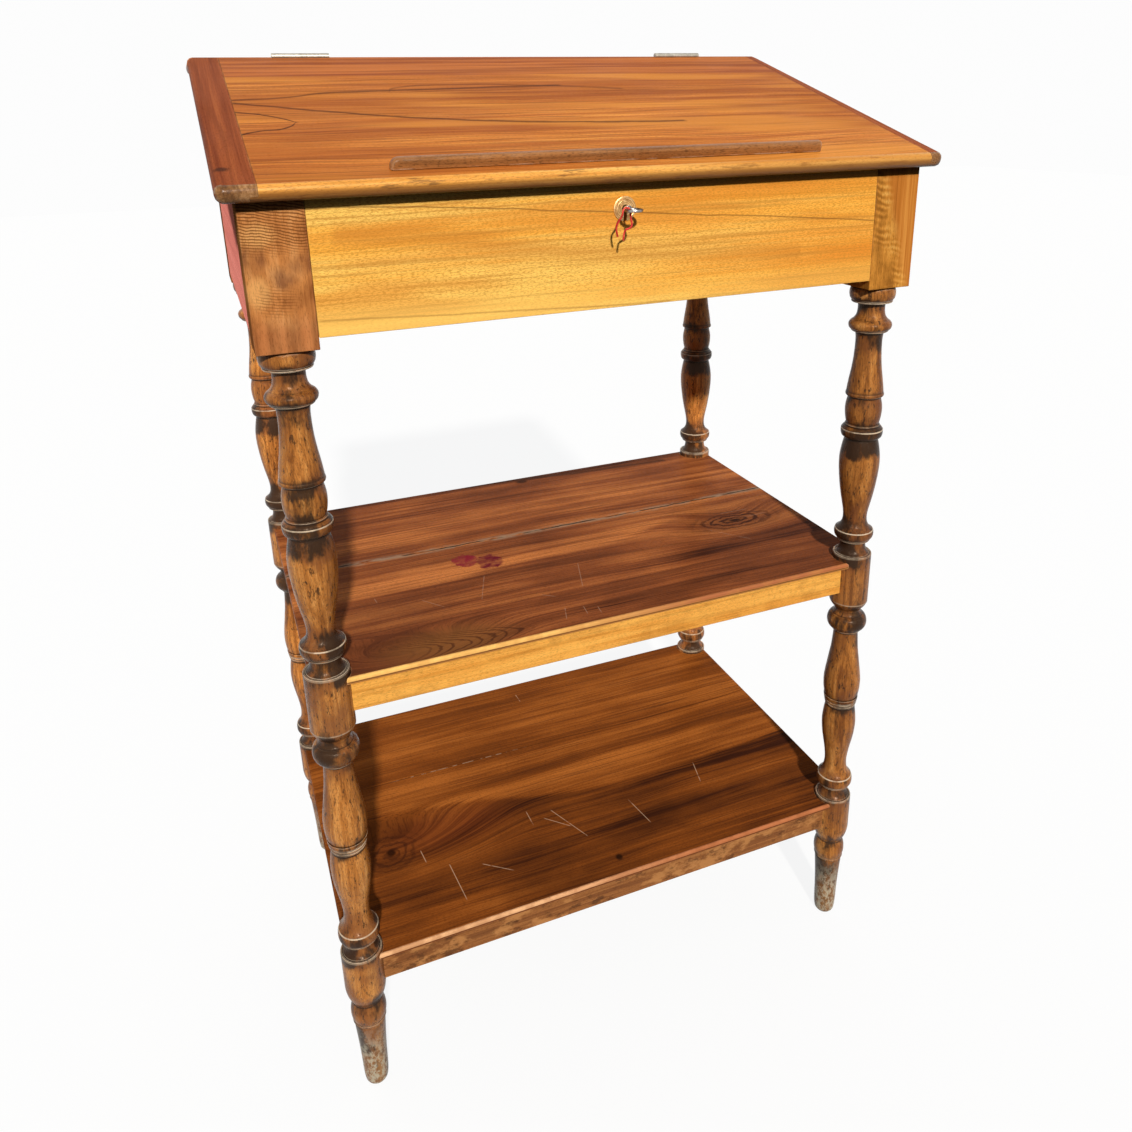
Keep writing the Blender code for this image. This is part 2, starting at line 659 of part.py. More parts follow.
def make_lid(wood, cleat_wood, strip_wood, lid):
    """Lid board, lapped end cleats and the book ledge, drawn flat and tilted to the slope."""
    place = Vector((0, 0, DESK_HEIGHT - HINGE_AXIS.z))
    turn = (LID_SLOPE, 0, 0)
    round_angle = math.radians(50)
    slab = nosed_mesh(board_outline, LID_THICKNESS)
    board = add_object("lid_board", slab, wood, lid, place, turn, smooth_angle=round_angle)
    combine(board, box_mesh(lap_box(-1, BOARD_LEFT, 1), lap_box(1, BOARD_RIGHT, 1)), "laps")
    cut_hinge_seats(board, -1, HINGE_AXIS - Vector((0, HINGE_Y, DESK_HEIGHT)), tilt=-LID_SLOPE)
    cut_strike_seat(board)
    for side, label, joint_x in ((-1, "left", BOARD_LEFT), (1, "right", BOARD_RIGHT)):
        slab = nosed_mesh(cleat_outline(side, joint_x + side * CLEARANCE), LID_THICKNESS)
        name = "lid_cleat_" + label
        cleat = add_object(name, slab, cleat_wood, lid, place, turn, smooth_angle=round_angle)
        combine(cleat, box_mesh(lap_box(side, joint_x, -1)), "lap")
    make_book_ledge(strip_wood, lid, place, turn)


def lap_box(side, joint_x, level):
    """Wood taken away at a lap: the board's upper part outside the joint, or the cleat's lower part."""
    low_y, high_y = -LID_LENGTH * 2, LID_LENGTH
    if level > 0:
        far = joint_x + side * LID_HALF_X
        return ordered((joint_x, low_y, -CLEAT_LIP_THICKNESS), (far, high_y, LID_THICKNESS))
    reach = joint_x + side * (CLEAT_LAP + CLEARANCE)
    near = joint_x - side * CLEAT_LAP
    return ordered((near, low_y, -LID_THICKNESS * 2), (reach, high_y, -CLEAT_LIP_THICKNESS + CLEARANCE))


def is_strip_rim(edge, half, low):
    """Whether an edge runs along the book strip's front or back, clear of its foot and of its square right end."""
    a, b = (vert.co for vert in edge.verts)
    along = abs(a.y - b.y) < 1e-6
    foot = max(a.z, b.z) < low + 1e-6
    square_end = min(a.x, b.x) > half - 1e-6
    return along and not foot and not square_end


def make_book_ledge(wood, lid, place, turn):
    """Strip that stops a book from sliding off, rounded on top and at its left end."""
    half = BOOK_LEDGE_LENGTH / 2
    front = -LID_LENGTH + BOOK_LEDGE_FROM_FRONT
    low = CLEARANCE
    bm = box_mesh(((-half, front, low), (half, front + BOOK_LEDGE_DEPTH, low + BOOK_LEDGE_HEIGHT)))
    top = low + BOOK_LEDGE_HEIGHT - 1e-6
    end = [edge for edge in bm.edges if all(vert.co.x < 0 and vert.co.z > top for vert in edge.verts)]
    bevel_edges(bm, end, BOOK_LEDGE_END_ROUND, 5)
    bevel_edges(bm, [edge for edge in bm.edges if is_strip_rim(edge, half, low)], BOOK_LEDGE_ROUND, 2)
    add_object("book_ledge", bm, wood, lid, place, turn, smooth_angle=math.radians(50))


def knuckle_ranges():
    """Start and end along X of each knuckle of a hinge."""
    pitch = HINGE_LENGTH / HINGE_KNUCKLES
    starts = [-HINGE_LENGTH / 2 + index * pitch for index in range(HINGE_KNUCKLES)]
    return [(start + CLEARANCE / 2, start + pitch - CLEARANCE / 2) for start in starts]


def leaf_screw_places():
    """Places of a leaf's screws along X."""
    middle = (LEAF_SCREWS - 1) / 2
    return [(index - middle) * LEAF_SCREW_PITCH for index in range(LEAF_SCREWS)]


def hinge_seat_outline(x, side):
    """Section of the seat cut in a board's edge: a slot for the leaf and a hollow for the barrel."""
    depth = LID_BACK_GAP / 2 + LEAF_THICKNESS + CLEARANCE
    reach = BARREL_RADIUS + CLEARANCE
    drop = LEAF_DROP + CLEARANCE
    start = math.acos(-depth / reach)
    points = [(0.0, -drop), (-depth, -drop)]
    points += arc((0, 0), reach, 2 * math.pi - start, math.pi / 2, 7)
    return [Vector((x, -side * y, z)) for y, z in points]


def cut_hinge_seats(board, side, axis, tilt=0.0):
    """Seats for both hinges in the edge of the lid (side -1) or the ledge (side 1), and screw holes."""
    seats, holes = bmesh.new(), bmesh.new()
    length = HINGE_LENGTH + 2 * CLEARANCE
    face = side * (LID_BACK_GAP / 2 + LEAF_THICKNESS)
    for centre in (-HINGE_OFFSET_X, HINGE_OFFSET_X):
        prism_mesh(hinge_seat_outline(centre - length / 2, side), (length, 0, 0), seats)
        for x in leaf_screw_places():
            drill(holes, (centre + x, face, -LEAF_SCREW_DROP), (0, side, 0), screw_sink=LEAF_THICKNESS)
    place = Matrix.Rotation(tilt, 4, "X") @ Matrix.Translation(axis)
    for bm in (seats, holes):
        bm.transform(place)
    combine(board, seats, "hinge_seats")
    combine(board, holes, "hinge_screw_holes")


def drill(bm, point, direction, screw_sink):
    """Add a pilot hole for a screw whose head sits in a plate of the given thickness over the point."""
    direction = Vector(direction)
    depth = SCREW_LENGTH - screw_sink + CLEARANCE
    start = Vector(point) - direction * CLEARANCE * 4
    cylinder_mesh(SCREW_SHANK_RADIUS + CLEARANCE, start, direction * (depth + CLEARANCE * 4), 8, bm)


def make_hinge(label, centre, brass, steel, desk, lid):
    """One butt hinge: a leaf on the case, a leaf on the lid, and the pin."""
    for side, parent, owner in ((1, desk, "case"), (-1, lid, "lid")):
        place = HINGE_AXIS + Vector((centre, 0, 0)) if parent is desk else Vector((centre, 0, 0))
        near = side * LID_BACK_GAP / 2
        far = side * (LID_BACK_GAP / 2 + LEAF_THICKNESS)
        top = -BARREL_RADIUS - CLEARANCE * 2
        bm = box_mesh(ordered((-HINGE_LENGTH / 2, near, -LEAF_DROP), (HINGE_LENGTH / 2, far, top)))
        leaf = add_object("hinge_" + label + "_" + owner + "_leaf", bm, brass, parent, place)
        knuckles = bmesh.new()
        first = 0 if side > 0 else 1
        for start, stop in knuckle_ranges()[first::2]:
            prism_mesh(knuckle_outline(start, side), (stop - start, 0, 0), knuckles)
        combine(leaf, knuckles, "knuckles", "UNION")
        bore = cylinder_mesh(PIN_RADIUS + PIN_PLAY, (-HINGE_LENGTH, 0, 0), (2 * HINGE_LENGTH, 0, 0), 10)
        combine(leaf, bore, "bore")
        sinks = bmesh.new()
        for x in leaf_screw_places():
            add_countersink(sinks, (x, near, -LEAF_SCREW_DROP), side * math.pi / 2)
        combine(leaf, sinks, "countersinks")
    pin = cylinder_mesh(PIN_RADIUS, (-HINGE_LENGTH / 2, 0, 0), (HINGE_LENGTH, 0, 0), 10)
    place = HINGE_AXIS + Vector((centre, 0, 0))
    add_object("hinge_" + label + "_pin", pin, steel, desk, place, smooth_angle=math.radians(40))


def knuckle_outline(x, side):
    """Section of a knuckle with the web that ties it to its leaf, a hair thinner than the leaf."""
    margin = LEAF_THICKNESS / 16
    inner = LID_BACK_GAP / 2 + margin
    outer = LID_BACK_GAP / 2 + LEAF_THICKNESS - margin
    low = -(LEAF_DROP + BARREL_RADIUS) / 2
    start = -math.acos(inner / BARREL_RADIUS)
    stop = -math.acos(outer / BARREL_RADIUS)
    points = arc((0, 0), BARREL_RADIUS, stop, start + 2 * math.pi, 11)
    points += [(inner, low), (outer, low)]
    return [Vector((x, side * y, z)) for y, z in points]


def screw_profile(grow=0.0, tail=0.0):
    """Radius and depth of a countersunk screw, its head's face at height 0."""
    return [
        (SCREW_HEAD_RADIUS + grow, tail),
        (SCREW_HEAD_RADIUS + grow, 0.0),
        (SCREW_SHANK_RADIUS + grow, -SCREW_HEAD_HEIGHT),
        (SCREW_SHANK_RADIUS + grow, -SCREW_LENGTH * 0.8),
    ]


def add_countersink(bm, point, turn):
    """Countersunk hole whose head's face is at a point; the turn about X points it into the plate."""
    place = Matrix.Translation(point) @ Matrix.Rotation(turn, 4, "X")
    lathe_mesh(screw_profile(CLEARANCE, CLEARANCE), SCREW_SEGMENTS, bm, place)


def screw_mesh():
    """Countersunk screw with a slotted head, pointing down."""
    profile = screw_profile()[1:]
    profile.append((SCREW_SHANK_RADIUS / 3, -SCREW_LENGTH))
    bm = lathe_mesh(profile, SCREW_SEGMENTS)
    blank = add_object("screw_blank", bm, None, None)
    half = SCREW_SLOT_WIDTH / 2
    reach = SCREW_HEAD_RADIUS * 2
    combine(blank, box_mesh(((-reach, -half, -SCREW_SLOT_DEPTH), (reach, half, SCREW_LENGTH))), "slot")
    bpy.context.view_layer.update()
    shaped = blank.evaluated_get(bpy.context.evaluated_depsgraph_get())
    mesh = bpy.data.meshes.new_from_object(shaped)
    mesh.name = "screw"
    for obj in (*blank.children, blank):
        bpy.data.objects.remove(obj, do_unlink=True)
    return mesh


def add_screw(name, mesh, parent, location, turn):
    obj = bpy.data.objects.new(name, mesh)
    bpy.context.scene.collection.objects.link(obj)
    obj.parent = parent
    obj.location = location
    obj.rotation_euler = turn


def make_hinge_screws(mesh, desk, lid):
    for label, centre in (("left", -HINGE_OFFSET_X), ("right", HINGE_OFFSET_X)):
        for side, parent, owner in ((1, desk, "case"), (-1, lid, "lid")):
            base = HINGE_AXIS if parent is desk else Vector()
            for index, x in enumerate(leaf_screw_places(), start=1):
                near = side * LID_BACK_GAP / 2
                place = base + Vector((centre + x, near, -LEAF_SCREW_DROP))
                name = "hinge_" + label + "_" + owner + "_screw_" + str(index)
                add_screw(name, mesh, parent, place, (math.radians(side * 90), 0, 0))


def keyhole_mesh(axis, start, depth, play):
    """Keyhole shape, round above with a slot below, extruded from front to back."""
    radius = KEY_SHANK_RADIUS + play
    half = min(KEYHOLE_SLOT_WIDTH / 2, radius * 0.9)
    lean = math.asin(half / radius)
    points = arc((0, 0), radius, -math.pi / 2 + lean, 1.5 * math.pi - lean, 14)
    points += [(-half, -KEYHOLE_SLOT_LENGTH), (half, -KEYHOLE_SLOT_LENGTH)]
    outline = [Vector((axis.x + x, start, axis.z + z)) for x, z in points]
    return prism_mesh(outline, (0, depth, 0))


def lock_screw_places():
    """Screws through the lock plate's flanges, level with the key."""
    x = LOCK_WIDTH / 2 + LOCK_PLATE_FLANGE / 2
    return [(-x, KEY_HEIGHT), (x, KEY_HEIGHT)]


def make_lock(brass, steel, desk):
    """Lock plate with its keyhole, and the case behind it, open towards the plate."""
    low = KEY_HEIGHT - LOCK_BELOW_KEY
    half = LOCK_WIDTH / 2
    flange = half + LOCK_PLATE_FLANGE
    back = LOCK_FRONT_Y + LOCK_WALL
    plate = add_object(
        "lock_plate", box_mesh(((-flange, LOCK_FRONT_Y, low), (flange, back, LOCK_TOP))), brass, desk
    )
    combine(plate, keyhole_mesh(KEY_AXIS, LOCK_FRONT_Y - LOCK_WALL, LOCK_WALL * 3, KEY_PLAY), "keyhole")
    sinks = bmesh.new()
    for x, z in lock_screw_places():
        add_countersink(sinks, (x, back, z), -math.pi / 2)
    combine(plate, sinks, "countersinks")
    rear = LOCK_CASE_FRONT_Y + LOCK_DEPTH
    case = add_object(
        "lock_case", box_mesh(((-half, LOCK_CASE_FRONT_Y, low), (half, rear, LOCK_TOP))), brass, desk
    )
    cavity = box_mesh((
        (-half + LOCK_WALL, LOCK_CASE_FRONT_Y - LOCK_WALL, low + LOCK_WALL),
        (half - LOCK_WALL, rear - LOCK_WALL, LOCK_TOP - LOCK_WALL),
    ))
    combine(case, cavity, "cavity")
    middle = BOLT_Y - (LOCK_TOP - BOLT_Z) * math.tan(LID_SLOPE)
    reach = TONGUE_WIDTH / 2 / math.cos(LID_SLOPE) + TONGUE_SWING
    side = TONGUE_THICKNESS / 2 + CLEARANCE * 2
    slot = box_mesh((
        (TONGUE_X - side, middle - reach, LOCK_TOP - LOCK_WALL * 2),
        (TONGUE_X + side, middle + reach, LOCK_TOP + LOCK_WALL),
    ))
    combine(case, slot, "tongue_slot")
    make_bolt(steel, desk)


def make_bolt(steel, desk):
    """Sliding bolt: a bar under the lock's top with a tab that the key's bit pushes."""
    nose = TONGUE_X + TONGUE_THICKNESS / 2 + CLEARANCE * 2
    tail = LOCK_WIDTH / 2 - LOCK_WALL - CLEARANCE * 2
    low = BOLT_TOP - BOLT_HEIGHT
    tab_right = BOLT_THROW - KEY_BIT_THICKNESS / 2 - CLEARANCE
    tab_low = KEY_HEIGHT + BOLT_TAB_CLEAR_OF_KEY
    front = BOLT_Y - BOLT_THICKNESS / 2
    corners = [
        (nose, low), (tab_right - BOLT_TAB_WIDTH, low), (tab_right - BOLT_TAB_WIDTH, tab_low),
        (tab_right, tab_low), (tab_right, low), (tail, low), (tail, BOLT_TOP), (nose, BOLT_TOP),
    ]
    outline = [Vector((x, front, z)) for x, z in corners]
    add_object("lock_bolt", prism_mesh(outline, (0, BOLT_THICKNESS, 0)), steel, desk)


def make_lock_screws(mesh, desk):
    back = LOCK_FRONT_Y + LOCK_WALL
    for label, (x, z) in zip(("left", "right"), lock_screw_places()):
        add_screw("lock_screw_" + label, mesh, desk, (x, back, z), (math.radians(-90), 0, 0))


def lid_plane(y, z):
    """Place in the lid's own plane, along the slope from its back edge and above its top, of a desk point."""
    along = (y - HINGE_Y) * math.cos(LID_SLOPE) + (z - DESK_HEIGHT) * math.sin(LID_SLOPE)
    above = (z - DESK_HEIGHT) * math.cos(LID_SLOPE) - (y - HINGE_Y) * math.sin(LID_SLOPE)
    return along, above


def strike_places():
    """Strike screws along X, about the plate's middle."""
    return [-STRIKE_SCREW_PITCH / 2, STRIKE_SCREW_PITCH / 2]


def cut_strike_seat(board):
    """Seat for the strike plate in the lid's underside, and its screw holes."""
    along, _ = lid_plane(BOLT_Y, BOLT_Z)
    half_x = STRIKE_LENGTH / 2 + CLEARANCE
    half_y = STRIKE_WIDTH / 2 + CLEARANCE
    top = -LID_THICKNESS + STRIKE_THICKNESS + CLEARANCE
    seat = box_mesh((
        (TONGUE_X - half_x, along - half_y, -LID_THICKNESS * 2), (TONGUE_X + half_x, along + half_y, top)
    ))
    combine(board, seat, "strike_seat")
    holes = bmesh.new()
    for x in strike_places():
        point = (TONGUE_X + x, along, -LID_THICKNESS + STRIKE_THICKNESS)
        drill(holes, point, (0, 0, 1), screw_sink=STRIKE_THICKNESS)
    combine(board, holes, "strike_screw_holes")


def make_strike(brass, screw, lid):
    """Strike plate under the lid, with a tongue whose eye takes the bolt."""
    place = Vector((0, 0, DESK_HEIGHT - HINGE_AXIS.z))
    turn = (LID_SLOPE, 0, 0)
    along, above = lid_plane(BOLT_Y, BOLT_Z)
    low = -LID_THICKNESS
    top = low + STRIKE_THICKNESS
    half_x, half_y = STRIKE_LENGTH / 2, STRIKE_WIDTH / 2
    bm = box_mesh(((TONGUE_X - half_x, along - half_y, low), (TONGUE_X + half_x, along + half_y, top)))
    strike = add_object("strike_plate", bm, brass, lid, place, turn)
    tip = above - TONGUE_EYE_HEIGHT / 2 - TONGUE_BELOW_EYE
    half_x, half_y = TONGUE_THICKNESS / 2, TONGUE_WIDTH / 2
    root = low + STRIKE_THICKNESS / 2
    tongue = box_mesh(((TONGUE_X - half_x, along - half_y, tip), (TONGUE_X + half_x, along + half_y, root)))
    combine(strike, tongue, "tongue", "UNION")
    half_y, half_z = TONGUE_EYE_WIDTH / 2, TONGUE_EYE_HEIGHT / 2
    eye = box_mesh((
        (TONGUE_X - TONGUE_THICKNESS, along - half_y, above - half_z),
        (TONGUE_X + TONGUE_THICKNESS, along + half_y, above + half_z),
    ))
    combine(strike, eye, "eye")
    sinks = bmesh.new()
    for x in strike_places():
        add_countersink(sinks, (TONGUE_X + x, along, low), math.pi)
    combine(strike, sinks, "countersinks")
    slope = Matrix.Rotation(LID_SLOPE, 4, "X")
    for label, x in zip(("left", "right"), strike_places()):
        spot = place + slope @ Vector((TONGUE_X + x, along, low))
        add_screw("strike_screw_" + label, screw, lid, spot, (math.pi + LID_SLOPE, 0, 0))


def make_escutcheon(brass, desk):
    """Round keyhole plate with turned rings on its face."""
    rings = [
        (ESCUTCHEON_RADIUS, 0.0),
        (ESCUTCHEON_RADIUS, ESCUTCHEON_THICKNESS * 0.45),
        (ESCUTCHEON_RADIUS * 0.88, ESCUTCHEON_THICKNESS * 0.7),
        (ESCUTCHEON_RADIUS * 0.80, ESCUTCHEON_THICKNESS * 0.45),
        (ESCUTCHEON_RADIUS * 0.68, ESCUTCHEON_THICKNESS),
        (ESCUTCHEON_RADIUS * 0.52, ESCUTCHEON_THICKNESS * 0.85),
    ]
    place = KEY_AXIS - Vector((0, CLEARANCE, 0))
    obj = add_object(
        "escutcheon", lathe_mesh(rings[::-1], 24), brass, desk, place, (math.radians(90), 0, 0),
        smooth_angle=math.radians(30),
    )
    hole = keyhole_mesh(Vector(), -ESCUTCHEON_THICKNESS, ESCUTCHEON_THICKNESS * 3, KEY_PLAY)
    hole.transform(Matrix.Rotation(math.radians(-90), 4, "X"))
    combine(obj, hole, "keyhole")


def make_key(steel, key_axis):
    """Key lying with its bow level: shank, collar, ring bow and the bit inside the lock."""
    inside = BOLT_Y + KEY_BIT_WIDTH / 2 + CASE_HALF_Y
    profile = [
        (KEY_SHANK_RADIUS * 0.85, KEY_NECK + BOW_WIRE_RADIUS * 0.5),
        (KEY_SHANK_RADIUS, KEY_NECK - 0.0030),
        (KEY_SHANK_RADIUS * 1.35, KEY_NECK - 0.0036),
        (KEY_SHANK_RADIUS * 1.35, KEY_NECK - 0.0056),
        (KEY_SHANK_RADIUS, KEY_NECK - 0.0062),
        (KEY_SHANK_RADIUS, -inside),
    ]
    key = add_object(
        "key", lathe_mesh(profile, 12), steel, key_axis, turn=(math.radians(90), 0, 0),
        smooth_angle=math.radians(40),
    )
    bow = bow_mesh()
    bow.transform(Matrix.Translation((0, 0, BOW_OUT)) @ Matrix.Rotation(math.radians(90), 4, "X"))
    combine(key, bow, "bow", "UNION")
    half = KEY_BIT_THICKNESS / 2
    bit = box_mesh(((0, -half, -inside + CLEARANCE), (KEY_BIT_REACH, half, -inside + KEY_BIT_WIDTH)))
    combine(key, bit, "bit", "UNION")


def bow_mesh():
    """Ring of round wire about Z."""
    bm = bmesh.new()
    verts = [bm.verts.new((BOW_RADIUS + x, 0, z)) for x, z in arc((0, 0), BOW_WIRE_RADIUS, 0, 1.75 * math.pi, 7)]
    edges = [bm.edges.new((verts[index - 1], verts[index])) for index in range(len(verts))]
    bmesh.ops.spin(
        bm, geom=verts + edges, cent=(0, 0, 0), axis=(0, 0, 1), angle=2 * math.pi, steps=18, use_merge=True
    )
    bmesh.ops.recalc_face_normals(bm, faces=bm.faces)
    return bm


def bent(radius, turn):
    """Run of a ribbon that turns at a fixed radius."""
    return (radius * math.radians(abs(turn)), turn)


def ribbon_side(runs, heading, depth):
    """Points of one side of the ribbon, from the top of its bend over the bow."""
    total = sum(length for length, turn in runs)
    x, z, gone = 0.0, BOW_WIRE_RADIUS + RIBBON_RADIUS + CLEARANCE, 0.0
    points = [Vector((x, 0, z))]
    for length, turn in runs:
        count = max(1, round(length / RIBBON_STEP))
        half_turn = math.radians(turn) / count / 2
        for _ in range(count):
            heading += half_turn
            x += math.cos(heading) * length / count
            z += math.sin(heading) * length / count
            heading += half_turn
            gone += length / count
            share = min(max(gone / total * 1.6 - 0.3, 0.0), 1.0)
            points.append(Vector((x, depth * share ** 2 * (3 - 2 * share), z)))
    return points


def ribbon_points():
    """Centre line of the ribbon: left tail, bend over the bow, loop, right tail."""
    left = ribbon_side((bent(RIBBON_BEND, 90), *RIBBON_LEFT_RUNS), math.pi, RIBBON_LEFT_DEPTH)
    loop = bent(RIBBON_LOOP, -RIBBON_LOOP_TURN)
    back = bent(RIBBON_LOOP, RIBBON_RETURN_TURN)
    runs = (bent(RIBBON_BEND, -90), RIBBON_FALL, loop, back, RIBBON_RIGHT_TAIL)
    right = ribbon_side(runs, 0.0, RIBBON_RIGHT_DEPTH)
    bow_side = Vector((-BOW_RADIUS, -BOW_OUT, 0))
    return [bow_side + point for point in left[::-1] + right[1:]]


def make_ribbon(cloth, key_axis):
    """Cord over the bow's left side, both tails hanging."""
    points = ribbon_points()
    curve = bpy.data.curves.new("key_ribbon", "CURVE")
    curve.dimensions = "3D"
    curve.bevel_depth = RIBBON_RADIUS
    curve.bevel_resolution = 2
    curve.use_fill_caps = True
    curve.materials.append(cloth)
    spline = curve.splines.new("POLY")
    spline.points.add(len(points) - 1)
    for spot, point in zip(spline.points, points):
        spot.co = (*point, 1.0)
    obj = bpy.data.objects.new("key_ribbon", curve)
    bpy.context.scene.collection.objects.link(obj)
    obj.parent = key_axis


def main():
    clear_scene()
    desk = make_empty("desk", DESK_ORIGIN)
    lid = make_empty("lid_hinge_axis", HINGE_AXIS, desk)
    key_axis = make_empty("key_turn_axis", KEY_AXIS, desk)
    leg_wood = make_material("leg_walnut", (0.20, 0.095, 0.035), 0.38)
    panel_wood = make_material("panel_walnut", (0.52, 0.26, 0.075), 0.40)
    shelf_wood = make_material("shelf_walnut", (0.25, 0.085, 0.035), 0.32)
    lid_wood = make_material("lid_walnut", (0.46, 0.18, 0.055), 0.36)
    cleat_wood = make_material("cleat_walnut", (0.30, 0.095, 0.040), 0.38)
    strip_wood = make_material("strip_walnut", (0.20, 0.10, 0.045), 0.40)
    inner_wood = make_material("inner_pine", (0.42, 0.27, 0.14), 0.60)
    brass = make_material("aged_brass", (0.55, 0.47, 0.30), 0.35, 1.0)
    steel = make_material("plated_steel", (0.55, 0.54, 0.52), 0.30, 1.0)
    cloth = make_material("red_ribbon", (0.60, 0.06, 0.06), 0.70)
    make_legs(leg_wood, desk)
    for level, top in (("middle", MIDDLE_SHELF_TOP), ("lower", LOWER_SHELF_TOP)):
        make_shelf(level + "_shelf", top, shelf_wood, desk)
        make_rails(level, top, panel_wood, desk)
    make_front_panel(panel_wood, desk)
    make_back_panel(panel_wood, desk)
    make_side_panels(panel_wood, desk)
    make_floor(inner_wood, desk)
    make_back_ledge(lid_wood, desk)
    make_lid(lid_wood, cleat_wood, strip_wood, lid)
    screw = screw_mesh()
    screw.materials.append(steel)
    for label, centre in (("left", -HINGE_OFFSET_X), ("right", HINGE_OFFSET_X)):
        make_hinge(label, centre, brass, steel, desk, lid)
    make_hinge_screws(screw, desk, lid)
    make_lock(brass, steel, desk)
    make_lock_screws(screw, desk)
    make_strike(brass, screw, lid)
    make_escutcheon(brass, desk)
    make_key(steel, key_axis)
    make_ribbon(cloth, key_axis)


main()
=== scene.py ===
import math

import bmesh
import bpy
from mathutils import Matrix, Vector


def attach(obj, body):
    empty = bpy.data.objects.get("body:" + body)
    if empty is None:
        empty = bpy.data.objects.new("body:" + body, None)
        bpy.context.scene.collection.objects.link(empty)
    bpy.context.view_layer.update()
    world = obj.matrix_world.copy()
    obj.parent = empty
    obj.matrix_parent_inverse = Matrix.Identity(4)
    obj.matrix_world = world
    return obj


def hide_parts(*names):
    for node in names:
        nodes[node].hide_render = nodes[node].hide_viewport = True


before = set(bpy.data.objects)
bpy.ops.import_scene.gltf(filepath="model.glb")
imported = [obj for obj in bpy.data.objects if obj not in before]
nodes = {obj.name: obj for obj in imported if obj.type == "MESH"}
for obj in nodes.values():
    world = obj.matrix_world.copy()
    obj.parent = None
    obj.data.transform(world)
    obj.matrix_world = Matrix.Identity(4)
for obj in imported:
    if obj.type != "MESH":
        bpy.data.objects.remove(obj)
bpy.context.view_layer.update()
scene = bpy.context.scene

# Camera, fitted to the photograph's edges
CAMERA_PLACE = Vector((-0.3776, -1.04685, 1.0861))
CAMERA_YAW = 0.3797
CAMERA_PITCH = 0.3317
CAMERA_ROLL = -0.022
CAMERA_LENS = 29.985
CAMERA_SHIFT = (-0.01447, -0.1186)

# Ribbon on the key's bow: each side is a row of runs (length, turn in degrees)
BOW_SIDE = Vector((-0.0074, -0.24095, 0.995))
BOW_TOUCH = 0.0028
RIBBON_DIAMETER = 0.0018
RIBBON_BEND = 0.00375
RIBBON_LOOP = 0.0043
RIBBON_STEP = 0.002
RIBBON_LEFT_DEPTH = 0.0009
RIBBON_RIGHT_DEPTH = -0.0025
RIBBON_LEFT = ((RIBBON_BEND * math.pi / 2, 90), (0.005, -36), (0.005, 0), (0.008, 46), (0.006, 4))
RIBBON_RIGHT = (
    (RIBBON_BEND * math.pi / 2, -90),
    (0.010, 12),
    (RIBBON_LOOP * math.radians(102), -102),
    (RIBBON_LOOP * math.radians(76), 76),
    (0.007, 10),
)

# Legs: tops of the turned sections, and how far a section runs on into the block or drum beside it
LEG_X = 0.318
LEG_FRONT_Y = -0.19305
LEG_BACK_Y = 0.21095
LEG_SEGMENTS = 64
LEG_LAP = 0.002
BLOCK_BOTTOM = 0.891
MIDDLE_TOP = 0.4956
FOOT_TOP = 0.1505

# Turned outlines in tenths of a millimetre: each member is a run of (radius, drop below the section's top)
TENTHS_PER_METRE = 10000
UPPER_TURNING = (
    ((215, 0), (240, 22), (250, 55), (252, 95), (243, 135), (226, 161)),
    ((221, 163), (227, 173), (222, 184)),
    ((152, 192), (149, 225), (150, 285), (160, 335), (178, 366), (195, 385)),
    ((201, 389), (222, 405), (237, 430), (239, 455), (231, 482), (218, 497)),
    ((206, 499), (207, 511), (198, 521)),
    ((160, 527), (151, 580), (148, 650), (151, 760), (159, 870), (172, 975), (188, 1074), (202, 1170),
     (210, 1238)),
    ((214, 1246), (217, 1262), (213, 1278), (203, 1285)),
    ((190, 1290), (191, 1320), (203, 1375), (209, 1430), (208, 1490), (200, 1555), (189, 1605), (185, 1618)),
    ((190, 1621), (199, 1632), (199, 1645)),
    ((203, 1649), (222, 1664), (233, 1682)),
    ((238, 1686), (240, 1715), (238, 1745), (230, 1772), (216, 1788)),
    ((188, 1800), (202, 1850), (218, 1930), (230, 2015), (234, 2090), (231, 2190), (221, 2300), (206, 2420),
     (186, 2540), (166, 2640), (150, 2720), (141, 2790), (141, 2840), (148, 2885), (166, 2925), (192, 2955),
     (216, 2974)),
    ((224, 2978), (231, 3003), (232, 3035), (224, 3068), (206, 3092)),
    ((196, 3095), (199, 3108), (193, 3120)),
    ((152, 3126), (149, 3160), (151, 3200), (163, 3245), (184, 3278), (200, 3292)),
    ((204, 3300), (210, 3300), (212, 3294), (226, 3296), (231, 3306)),
)
